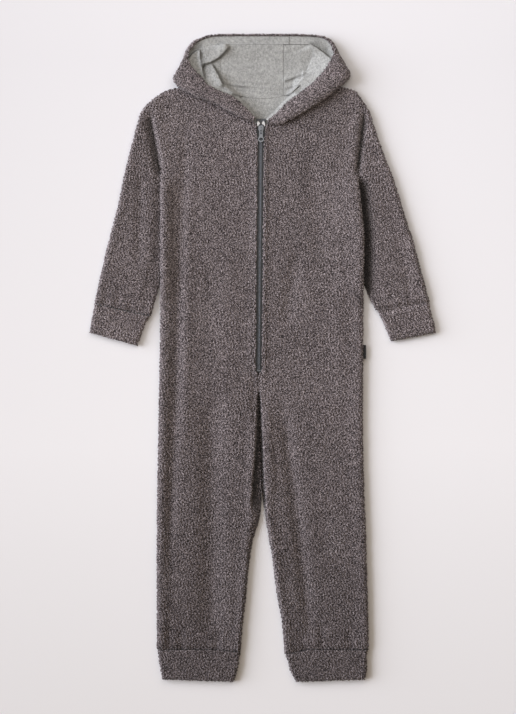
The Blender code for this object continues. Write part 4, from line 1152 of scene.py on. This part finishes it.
def tube_grid(rows, height, step, reach, hem=1.0):
    """A flattened tube's outer face as rings."""
    length = np.hypot(rows["outer_x"][-1] - rows["outer_x"][0],
                      rows["outer_y"][-1] - rows["outer_y"][0])
    fine = resample(rows, int(length / step) + 1)
    width = np.hypot(fine["inner_x"] - fine["outer_x"], fine["inner_y"] - fine["outer_y"])
    ends = np.ones(len(width))
    ends[-len(HEM_STEPS):] = 1 - (1 - hem) * HEM_STEPS
    return tube_points(fine, height, 0.0, int(width.max() / step), reach, ends)


def sleeve_grid(side, step):
    """The sleeve, with its inner edge a little further under the body than the solid's."""
    rows = dict(SLEEVE[side])
    under = ridge(rows["inner_y"], 990.0, 40.0) * (rows["inner_y"] < 1020.0)
    rows["inner_x"] = rows["inner_x"] + INWARD[side] * TUCKED_UNDER * under
    return tube_grid(rows, partial(sleeve_height, side), step, SLEEVE_ROLLS)


def cuff_grid(rows, top, step):
    """A folded band, which sinks where it is sewn on and rounds over at its hem."""
    seam_x, seam_y = rows["outer_x"][0], rows["outer_y"][0]
    hem = (rows["outer_x"][-1] - seam_x, rows["outer_y"][-1] - seam_y)
    length = np.hypot(*hem)

    def height(x, y, to_inner):
        down = ((x - seam_x) * hem[0] + (y - seam_y) * hem[1]) / length
        return top - CUFF_DEPTH * ridge(down, 0.0, 4.5) + folds(FOLDS, x, y)

    return tube_grid(rows, height, step, CUFF_ROLLS, CUFF_HEM)


def hood_grid(side, step):
    """The hood's side as rings, and 1 where the pile shows on each ring's points."""
    rows = resample(HOOD[side], HOOD_ROWS)
    picked = [hood_row(rows, k, side) for k in range(HOOD_ROWS)]
    return finer_rings(np.array([hood_section(side, row, chest_part(row)) for row in picked]), step)


def centre_grid(step):
    last = {name: column[-1] for name, column in HOOD["right"].items()}
    left, right = HOOD_SEAM["left"] - SEAM / 2, HOOD_SEAM["right"] + SEAM / 2
    sections = []
    for x in np.linspace(right, left, int((left - right) / step)):
        row = {**last, "nx": x, "ex": x, "fx": x, "ny": neck_curve(x) + SEAM}
        sections.append(hood_section("right" if x < 0 else "left", row, 0.0))
    return finer_rings(np.array(sections), step)


def finer_rings(sections, step):
    """The sections with points a step apart, rounded, and where the pile shows."""
    ahead = np.roll(sections, -1, axis=1)
    lengths = np.linalg.norm(ahead - sections, axis=2).mean(axis=0)
    count = sections.shape[1]
    hidden = count - len(LEG_STEPS)
    points, shows = [], []
    for j in range(count):
        inside = j >= hidden
        pieces = max(1, int(round(lengths[j] / (2.5 * step if inside else step))))
        for f in np.arange(pieces) / pieces:
            points.append(mix(sections[:, j], ahead[:, j], f))
            shows.append(0.0 if inside else 1.0)
    shows = np.array(shows)
    for _ in range(4):
        shows = (np.roll(shows, 1) + 2 * shows + np.roll(shows, -1)) / 4
    return smooth_rings(np.stack(points, axis=1), 5), shows


def facing_grid():
    """The band from the V on the right, round the opening, to the V on the left."""
    grid = []
    for side, order in (("right", 1), ("left", -1)):
        rows = resample(HOOD[side], HOOD_ROWS)
        grid += [facing_row(side, hood_row(rows, k, side)) for k in range(HOOD_ROWS)][::order]
    return np.array(grid)


def lining_side_grid(side, rows_count, columns):
    """From the centre panel's seam to just under the facing's inner edge."""
    rows = resample(HOOD[side], LINING_FINE * (len(HOOD[side]["nx"]) - 1) + 1)
    picks = np.linspace(LINING_FINE * LINING_START[side], LINING_FINE * LINING_END, rows_count)
    seam = HOOD_SEAM[side] - INWARD[side] * LINING_SEAM
    grid = []
    for k in picks.round().astype(int):
        row = hood_row(rows, k, side)
        nx = min(row["nx"], seam) if side == "right" else max(row["nx"], seam)
        ny = min(row["ny"] + 0.4, LINING_TOP)
        gx, gy, gz = facing_row(side, row)[0]
        u = np.linspace(0.0, 1.0 + UNDER_FACING / np.hypot(gx - nx, gy - ny), columns)
        x, y = mix(nx, gx, u), mix(ny, gy, u)
        z = lining_level(side, x, y) + (gz - lining_level(side, gx, gy) - 0.3) * ease(u)
        grid.append(np.concatenate([skirt(x[0], y[0], z[0]), turned(x, y, z)]))
    return np.array(grid)


def skirt(x, y, z):
    """Points from the lining's lower edge down to the back's neckline."""
    drop = z - NECK_LEVEL
    return turned(x, y - (0.3 + 0.9 * drop) * SKIRT_STEPS, z - drop * SKIRT_STEPS)


def lining_centre_grid(rows_count, columns):
    """The panel between the two seams, whose right edge goes under the side's."""
    right, left = HOOD_SEAM["right"] - UNDER_SIDE, HOOD_SEAM["left"] - LINING_SEAM
    grid = []
    for x in np.linspace(right, left, columns):
        y = np.linspace(neck_curve(x) + SEAM, HOOD["right"]["gy"][-1] + 2.0, rows_count)
        z = lining_level("right" if x < 0 else "left", x + 0 * y, y)
        z -= 0.5 * before(x, HOOD_SEAM["right"] + 1.0, 1.5)
        grid.append(np.concatenate([skirt(x, y[0], z[0]), turned(x, y, z)]))
    return np.array(grid)


# Meshes


def to_frame(points):
    return (np.asarray(points, float) - ORIGIN) * MM


def grid_faces(rows, columns, closed):
    number = np.arange(rows * columns).reshape(rows, columns)
    if closed:
        number = np.concatenate([number, number[:, :1]], axis=1)
    corners = (number[:-1, :-1], number[1:, :-1], number[1:, 1:], number[:-1, 1:])
    return np.stack(corners, axis=-1).reshape(-1, 4)


def borders(rows, columns, closed):
    """The grid's border as paths of point numbers, each closed."""
    number = np.arange(rows * columns).reshape(rows, columns)
    if closed:
        return [number[0], number[-1][::-1]]
    path = [number[0], number[1:, -1], number[-1, -2::-1], number[-2:0:-1, 0]]
    return [np.concatenate(path)]


def add_object(name, data):
    obj = bpy.data.objects.new(name, data)
    bpy.context.scene.collection.objects.link(obj)
    return obj


def new_mesh(name, points, faces, look, values=None, smooth_shade=True):
    """A mesh object in the frame, from points in plan, with a value of its own for
    each point under each name in values."""
    mesh = bpy.data.meshes.new(name)
    mesh.from_pydata(to_frame(points).tolist(), [], faces)
    mesh.validate()
    for key, value in (values or {}).items():
        data = mesh.attributes.new(key, "FLOAT", "POINT").data
        data.foreach_set("value", np.asarray(value, np.float32))
    if smooth_shade:
        mesh.shade_smooth()
    mesh.materials.append(look)
    return add_object(name, mesh)


def cloth(name, points, look, closed=False, up=1, depth=0.0, shows=1.0, wall=FLEECE, shade=0.0):
    """A shell on a grid, with its pile raised on it and its edges turned in.

    An open grid faces up, or down if up is -1. depth is the pile's, shows scales it
    over the grid, and shade is painted shade: it darkens the colour of the cloth that
    lies deep in a crease, and lightens it where it is below zero."""
    rows, columns = points.shape[:2]
    normal = grid_normals(points, closed)
    if closed:
        outwards = ((points - points.mean(axis=1, keepdims=True)) * normal).sum()
    else:
        outwards = up * normal[..., 2].sum()
    faces = grid_faces(rows, columns, closed)
    if outwards < 0:
        normal, faces = -normal, faces[:, ::-1]
    pile = pile_height(points) if depth else np.zeros((rows, columns))
    verts = [above_floor(points + normal * (depth * (pile - PILE_LEVEL) * shows)[..., None])]
    values, shades, quads = [pile.ravel()], [(shade + 0.0 * pile).ravel()], [faces]
    start = rows * columns
    for path in borders(rows, columns, closed):
        turned_in = verts[0][path] - normal.reshape(-1, 3)[path] * wall * LIP_SHARE
        lip = start + np.arange(len(path))
        strip = np.stack([path, lip, np.roll(lip, -1), np.roll(path, -1)], axis=-1)
        quads.append(strip if outwards < 0 else strip[:, ::-1])
        verts.append(above_floor(turned_in))
        values.append(np.full(len(path), LIP_PILE))
        shades.append(shades[0][path])
        start += len(path)
    # Each point's crease value is the painted shade of its colour
    values = {"pile": np.concatenate(values), "crease": np.concatenate(shades)}
    return new_mesh(name, np.concatenate(verts), np.concatenate(quads).tolist(), look, values)


def above_floor(points):
    """The points in one list, with none of them under the floor."""
    points = points.reshape(-1, 3)
    return np.column_stack([points[:, :2], np.maximum(points[:, 2], 0.0)])


def add_rod(points, faces, rings):
    """Adds a closed rod through rings of as many points each."""
    count = len(rings[0])
    number = len(points) + np.arange(len(rings) * count).reshape(len(rings), count)
    for near, far in zip(number[:-1], number[1:]):
        faces += np.stack([near, np.roll(near, -1), np.roll(far, -1), far], axis=1).tolist()
    faces += [number[0][::-1].tolist(), number[-1].tolist()]
    for ring in rings:
        points.extend(ring)


# Materials


def graph(name):
    """A new material with its node tree and its shader."""
    look = bpy.data.materials.new(name)
    look.use_nodes = True
    return look, look.node_tree, look.node_tree.nodes["Principled BSDF"]


def fill(tree, made, inputs):
    """Sets a node's inputs to values, or links them to sockets."""
    for key, value in inputs.items():
        if isinstance(value, bpy.types.NodeSocket):
            tree.links.new(value, made.inputs[key])
        else:
            made.inputs[key].default_value = value


def node(tree, kind, inputs, **settings):
    made = tree.nodes.new("ShaderNode" + kind)
    for key, value in settings.items():
        setattr(made, key, value)
    fill(tree, made, inputs)
    return made


def maths(tree, operation, *values):
    return node(tree, "Math", dict(enumerate(values)), operation=operation).outputs[0]


def weighed(tree, total, *parts):
    """A sum of sockets, each with its weight, that starts from a total."""
    for socket, weight in parts:
        total = maths(tree, "MULTIPLY_ADD", socket, weight, total)
    return total


def ramp(tree, factor, stops):
    made = node(tree, "ValToRGB", {"Fac": factor})
    band = made.color_ramp
    while len(band.elements) < len(stops):
        band.elements.new(0.5)
    for element, (place, color) in zip(band.elements, stops):
        element.position = place
        element.color = (*color, 1.0)
    return made.outputs["Color"]


def two_tones(tree, factor, color, dark, light):
    """A ramp from a dark shade of a color to a light one, each a place and a share."""
    return ramp(tree, factor, [(at, tuple(min(1.0, share * c) for c in color))
                               for at, share in (dark, light)])


def position(tree):
    """A point's place in metres, since no object here is turned or scaled."""
    return node(tree, "TexCoord", {}).outputs["Object"]


def stretched(tree, where, scale):
    return node(tree, "Mapping", {"Vector": where, "Scale": scale}).outputs[0]


def noise(tree, where, scale, detail=2.0, rough=0.5):
    """Noise with about `scale` grains to the metre."""
    inputs = {"Vector": where, "Scale": scale, "Detail": detail, "Roughness": rough}
    return node(tree, "TexNoise", inputs).outputs["Fac"]


def ribs(tree, where, scale, direction, distortion=0.0):
    inputs = {"Vector": where, "Scale": scale, "Distortion": distortion}
    return node(tree, "TexWave", inputs, bands_direction=direction).outputs["Fac"]


def attribute(tree, name):
    return node(tree, "Attribute", {}, attribute_name=name).outputs["Fac"]


def along_y(tree, where, *ends):
    """The Y of a point, from one range to another."""
    apart = node(tree, "SeparateXYZ", {"Vector": where})
    inputs = {"Value": apart.outputs["Y"], **dict(enumerate(ends, 1))}
    return node(tree, "MapRange", inputs).outputs[0]


def bump(tree, height, strength, distance):
    inputs = {"Height": height, "Strength": strength, "Distance": distance}
    return node(tree, "Bump", inputs).outputs["Normal"]


def with_painted_shade(tree, color, *fades):
    """The color with painted shade: darker where the cloth lies deep in a crease, in a valley or in
    another part's shadow, lighter where that shade is below zero, and with any painted fades over
    it.
    """
    kept = maths(tree, "MULTIPLY_ADD", attribute(tree, "crease"), -PAINTED_SHADE_DEPTH, 1.0)
    for fade in fades:
        kept = maths(tree, "MULTIPLY", kept, fade)
    return node(tree, "VectorMath", {0: color, "Scale": kept}, operation="SCALE").outputs[0]


def fleece_look():
    """Curly fleece with a soft sheen: its grey varies at random, with painted shade in the pits
    between curls and painted light on their tips, and painted shade that darkens it towards the
    hems.
    """
    look, tree, shader = graph("curly_fleece")
    where = position(tree)
    curl = noise(tree, stretched(tree, where, (1.2, 0.7, 1.0)), 625.0, 0.0)
    fibre = noise(tree, where, 1300.0, 2.0, 0.6)
    clump = noise(tree, where, 45.0, 1.0)
    broad = noise(tree, where, 8.0, 2.0)
    # The pile's height paints shade into the colour, darker where the pile is low
    level = weighed(tree, -1.42, (curl, 3.0), (attribute(tree, "pile"), 0.07), (fibre, 0.3),
                    (clump, 0.16), (broad, 0.20))
    # Painted shade: the colour darkens towards the hems, standing in for light that falls off down
    # the garment
    painted_shade_low = along_y(tree, where, -0.66, -0.12, 0.72, 1.0)
    fill(tree, shader, {
        "Base Color": with_painted_shade(tree, ramp(tree, level, FLEECE_COLORS), painted_shade_low),
        "Roughness": 0.95, "Specular IOR Level": 0.15,
        "Sheen Weight": 0.2, "Sheen Roughness": 0.6,
        "Normal": bump(tree, weighed(tree, curl, (fibre, 0.35)), 0.85, 0.0022),
    })
    return look


def marl_look():
    """Fine grey marl jersey: flecked yarn in faint upright ribs."""
    look, tree, shader = graph("marl_jersey")
    where = position(tree)
    long_way = stretched(tree, where, (1.0, 0.7, 1.0))
    fleck = noise(tree, long_way, 1000.0, 3.0, 0.7)
    blotch = noise(tree, long_way, 240.0, 2.0, 0.6)
    broad = noise(tree, where, 30.0, 2.0)
    level = weighed(tree, -0.20, (fleck, 0.95), (blotch, 0.35), (broad, 0.1))
    knit = weighed(tree, ribs(tree, where, 260.0, "X", 0.6), (fleck, 0.8))
    fill(tree, shader, {
        # Painted shade darkens the lining in its creases
        "Base Color": with_painted_shade(tree, ramp(tree, level, MARL_COLORS)),
        "Roughness": 0.85, "Specular IOR Level": 0.2, "Sheen Weight": 0.15,
        "Normal": bump(tree, knit, 0.25, 0.0006),
    })
    return look


def woven_look(name, color, pitch):
    """Close woven ribbon or tape, with its threads a pitch in metres apart."""
    look, tree, shader = graph(name)
    where = position(tree)
    warp = ribs(tree, where, WAVE_METRE / pitch, "X")
    weft = ribs(tree, where, WAVE_METRE / (0.7 * pitch), "Y")
    weave = maths(tree, "MULTIPLY", warp, weft)
    grain = noise(tree, where, 1500.0)
    level = weighed(tree, maths(tree, "MULTIPLY", weave, 0.5), (grain, 0.5))
    fill(tree, shader, {
        "Base Color": two_tones(tree, level, color, (0.1, 0.6), (0.8, 1.35)),
        "Roughness": 0.75, "Normal": bump(tree, weave, 0.5, 0.0003),
    })
    return look


def metal_look(name, color, rough):
    """Plated zip metal, with fine wear."""
    look, tree, shader = graph(name)
    wear = noise(tree, position(tree), 900.0, 3.0, 0.7)
    fill(tree, shader, {
        "Base Color": two_tones(tree, wear, color, (0.3, 0.75), (0.75, 1.3)),
        "Roughness": weighed(tree, rough - 0.1, (wear, 0.25)),
        "Metallic": 0.85, "Normal": bump(tree, wear, 0.15, 0.0002),
    })
    return look


def thread_look(name, color):
    look, tree, shader = graph(name)
    twist = noise(tree, position(tree), 2500.0)
    fill(tree, shader, {
        "Base Color": two_tones(tree, twist, color, (0.3, 0.6), (0.7, 1.0)), "Roughness": 0.7,
    })
    return look


def floor_look():
    look, tree, shader = graph("pale_floor")
    down = along_y(tree, position(tree), -0.7, 0.6)
    fill(tree, shader, {
        "Base Color": ramp(tree, down, FLOOR_SHADE_RAMP),
        "Roughness": 0.9, "Specular IOR Level": 0.1,
    })
    return look


# Pieces


def wear_it(obj, stands_for=None):
    """Rides on the garment and, if it has one, stands for a CAD node."""
    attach(obj, "garment")
    if stands_for:
        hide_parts(stands_for)


def sew(looks, name, stands_for, points, cut, rests_on=(), **form):
    """A cloth on a grid, of the kind that its name starts with."""
    kind = name.partition("_")[0]
    if kind == "fleece":
        form = {"depth": PILE_DEPTH, **form}
    else:
        form = {"wall": JERSEY, "shade": crease_shade(points[..., 0], points[..., 1])}
    obj = cloth(name, points, looks[kind], **form)
    wear_it(obj, stands_for)


def add_body(looks):
    for side in SIDES:
        grid = front_grid(side, FINE)
        sew(looks, "fleece_front_" + side, "front_" + side, grid, CUTS["front"],
            ["back_" + side], shade=front_shade(side, grid[..., 0], grid[..., 1]))
        sew(looks, "fleece_back_" + side, "back_" + side, back_grid(side, COARSE),
            CUTS["back"], ["sleeve_" + side], up=-1)


def add_sleeves(looks):
    for side in SIDES:
        grid = sleeve_grid(side, SLEEVE_FINE)
        sew(looks, "fleece_sleeve_" + side, "sleeve_" + side, grid, CUTS["sleeve"],
            closed=True, shade=sleeve_shade(side, grid[..., 0], grid[..., 1]))
        wrist = cuff_grid(SLEEVE_CUFF[side], SLEEVE_CUFF_HEIGHT, FINE)
        sew(looks, "fleece_wrist_" + side, "sleeve_cuff_" + side, wrist, CUTS["sleeve_cuff"],
            closed=True, wall=CUFF_WALL, shade=WRIST_PAINTED_LIGHT)
        ankle = cuff_grid(LEG_CUFF[side], LEG_CUFF_HEIGHT, FINE)
        ankle[..., 1] -= ankle_drop(side, ankle[..., 0], ankle[..., 1])
        sew(looks, "fleece_ankle_" + side, "leg_cuff_" + side, ankle, CUTS["leg_cuff"],
            closed=True, wall=CUFF_WALL)


def add_hood(looks):
    for side in SIDES:
        panel, shows = hood_grid(side, FINE)
        sew(looks, "fleece_hood_" + side, "hood_side_" + side, panel,
            CUTS["hood_side_" + side], ["front_" + side], closed=True, shows=shows)
        lining = lining_side_grid(side, *LINING_SIDE_SIZE)
        sew(looks, "marl_side_" + side, "lining_side_" + side, lining,
            CUTS["lining_side_" + side], ["hood_side_" + side])
    panel, shows = centre_grid(FINE)
    sew(looks, "fleece_hood_centre", "hood_centre", panel, CUTS["hood_centre"],
        ["back_right"], closed=True, shows=shows)
    sew(looks, "marl_centre", "lining_centre", lining_centre_grid(*LINING_CENTRE_SIZE),
        CUTS["lining_centre"], ["hood_centre"])
    sew(looks, "marl_facing", "hood_facing", facing_grid(), CUTS["hood_facing"],
        ["lining_centre"])


# Zip and label


def chain_teeth(metal):
    """Teeth in turn from each tape, each a small bar with a rounded head."""
    low = TAPE_LEVEL + TAPE + SEAM
    points, faces = [], []
    for i in range(int((ZIP_TOP - ZIP_BOTTOM - 1.0) / TOOTH_PITCH)):
        for sign in (-1, 1):
            y = ZIP_BOTTOM + 0.8 + (i + (0.5 if sign > 0 else 0.0)) * TOOTH_PITCH
            x = middle_x(y)
            add_rod(points, faces, [
                [(x - sign * dx, y + dy, low + dz) for dx, dz in TOOTH[::sign]]
                for dy in (-TOOTH_HALF, TOOTH_HALF)
            ])
    wear_it(new_mesh("zip_teeth", points, faces, metal, smooth_shade=False),
            "zip_chain")


def add_stitch(points, faces, start, end):
    """A short thread that dips at both ends."""
    start, end = np.array(start, float), np.array(end, float)
    up = np.array((0.0, 0.0, 1.0))
    over = np.cross((end - start) / np.linalg.norm(end - start), up)
    turns = np.arange(6) * np.pi / 3
    add_rod(points, faces, [
        [mix(start, end, f) + up * drop + size * (over * np.cos(t) + up * np.sin(t))
         for t in turns]
        for f, drop, size in STITCH_RINGS
    ])


def stitch_rows(thread):
    """Topstitching beside the zip and across its end, sunk into the pile."""
    def level(side, x, y):
        return float(front_height(side, np.array(x), np.array(y)))

    points, faces = [], []
    for side in SIDES:
        for y in np.arange(ZIP_BOTTOM - 6.0, ZIP_TOP - 6.0, STITCH):
            x = middle_x(y) - INWARD[side] * STITCH_LINE[side]
            z = level(side, x, y) - 1.25
            add_stitch(points, faces, (x, y, z), (x, y + STITCH * STITCH_SHARE, z))
    x0, x1 = (middle_x(ZIP_BOTTOM) - INWARD[side] * STITCH_LINE[side] for side in SIDES)
    y = ZIP_BOTTOM - 7.5
    for x in np.arange(x0, x1 - 1.0, STITCH):
        z = level("right", x, y) - 1.2
        add_stitch(points, faces, (x, y, z), (x + STITCH * STITCH_SHARE, y, z))
    wear_it(new_mesh("zip_topstitching", points, faces, thread))


def level_on(grid, x, y):
    """The height of a grid's nearest point."""
    points = grid.reshape(-1, 3)
    return points[np.argmin(np.hypot(points[:, 0] - x, points[:, 1] - y)), 2]


def lining_seams(thread):
    """Fine seams of the facing: along its edge over the lining, and its join. Their dark thread
    also paints the thin line of shade along the facing's edge.
    """
    facing = facing_grid()
    points, faces = [], []
    for start, end in FACING_SEAMS:
        count = int(np.hypot(end[0] - start[0], end[1] - start[1]) / SEAM_STITCH)
        x, y = np.linspace(start[0], end[0], count), np.linspace(start[1], end[1], count)
        line = turned(x, y, np.array([level_on(facing, *at) for at in zip(x, y)]) + 0.5)
        for a, b in zip(line[:-1], line[1:]):
            add_stitch(points, faces, a, b)
    wear_it(new_mesh("facing_seams", points, faces, thread))


def dress_nodes(looks):
    """The CAD pieces that stay get rounded edges and their own materials."""
    for name, (kind, width) in STAYING.items():
        obj = frame["nodes"][name]
        obj.data.materials.clear()
        obj.data.materials.append(looks[kind])
        if width:
            edge = obj.modifiers.new("edge", "BEVEL")
            edge.width = width * MM
            edge.segments = 3
            edge.limit_method = "ANGLE"
            edge.angle_limit = BEVEL_ANGLE


# Stage


def add_floor():
    corners = [(sx * FLOOR_REACH, sy * FLOOR_REACH, FLOOR_Z)
               for sx, sy in ((-1, -1), (1, -1), (1, 1), (-1, 1))]
    mesh = bpy.data.meshes.new("floor")
    mesh.from_pydata(corners, [], [(0, 1, 2, 3)])
    mesh.materials.append(floor_look())
    add_object("floor", mesh)


def add_lamp(lamp, away):
    """A lamp that shines the way opposite to a vector that points away from the garment."""
    obj = add_object(lamp.name, lamp)
    obj.rotation_mode = "QUATERNION"
    obj.rotation_quaternion = (-Vector(away)).to_track_quat("-Z", "Y")
    return obj


def add_lights():
    key = bpy.data.lights.new("key", "SUN")
    key.energy, key.angle, key.color = KEY_STRENGTH, KEY_SPREAD, KEY_COLOR
    add_lamp(key, KEY_FROM)
    soft = bpy.data.lights.new("softbox", "AREA")
    soft.shape = "RECTANGLE"
    soft.size, soft.size_y = SOFTBOX_SIZE
    soft.energy, soft.color = SOFTBOX_POWER, SOFTBOX_COLOR
    add_lamp(soft, Vector(SOFTBOX_AT) - Vector(SOFTBOX_AIM)).location = SOFTBOX_AT
    world = bpy.data.worlds.new("studio")
    world.use_nodes = True
    sky = world.node_tree.nodes["Background"]
    sky.inputs["Color"].default_value = (*SKY_COLOR, 1.0)
    sky.inputs["Strength"].default_value = SKY_STRENGTH
    bpy.context.scene.world = world


def add_camera():
    """Straight above, as far up as makes the picture PICTURE_HEIGHT metres high."""
    lens = bpy.data.cameras.new("camera")
    lens.sensor_width = SENSOR
    lens.lens = SENSOR / PICTURE_HEIGHT * CAMERA_HEIGHT
    lens.clip_end = 50.0
    camera = add_object("camera", lens)
    camera.location = (*PICTURE_CENTRE, CAMERA_HEIGHT)
    bpy.context.scene.camera = camera


def main():
    looks = {
        "fleece": fleece_look(),
        "marl": marl_look(),
        "plate": metal_look("zip_plate", PLATE_COLOR, PLATE_ROUGH),
        "tape": woven_look("zip_tape", TAPE_COLOR, TAPE_PITCH),
        "tape_end": woven_look("tape_end", TAPE_END_COLOR, TAPE_END_PITCH),
        "ribbon": woven_look("label_ribbon", LABEL_COLOR, LABEL_PITCH),
    }
    add_body(looks)
    add_sleeves(looks)
    add_hood(looks)
    chain_teeth(metal_look("zip_tooth", TOOTH_COLOR, TOOTH_ROUGH))
    stitch_rows(thread_look("stitching", STITCH_COLOR))
    lining_seams(thread_look("lining_stitching", LINING_STITCH_COLOR))
    dress_nodes(looks)
    add_floor()
    add_lights()
    add_camera()
    bpy.context.scene.view_settings.view_transform = "Standard"


main()
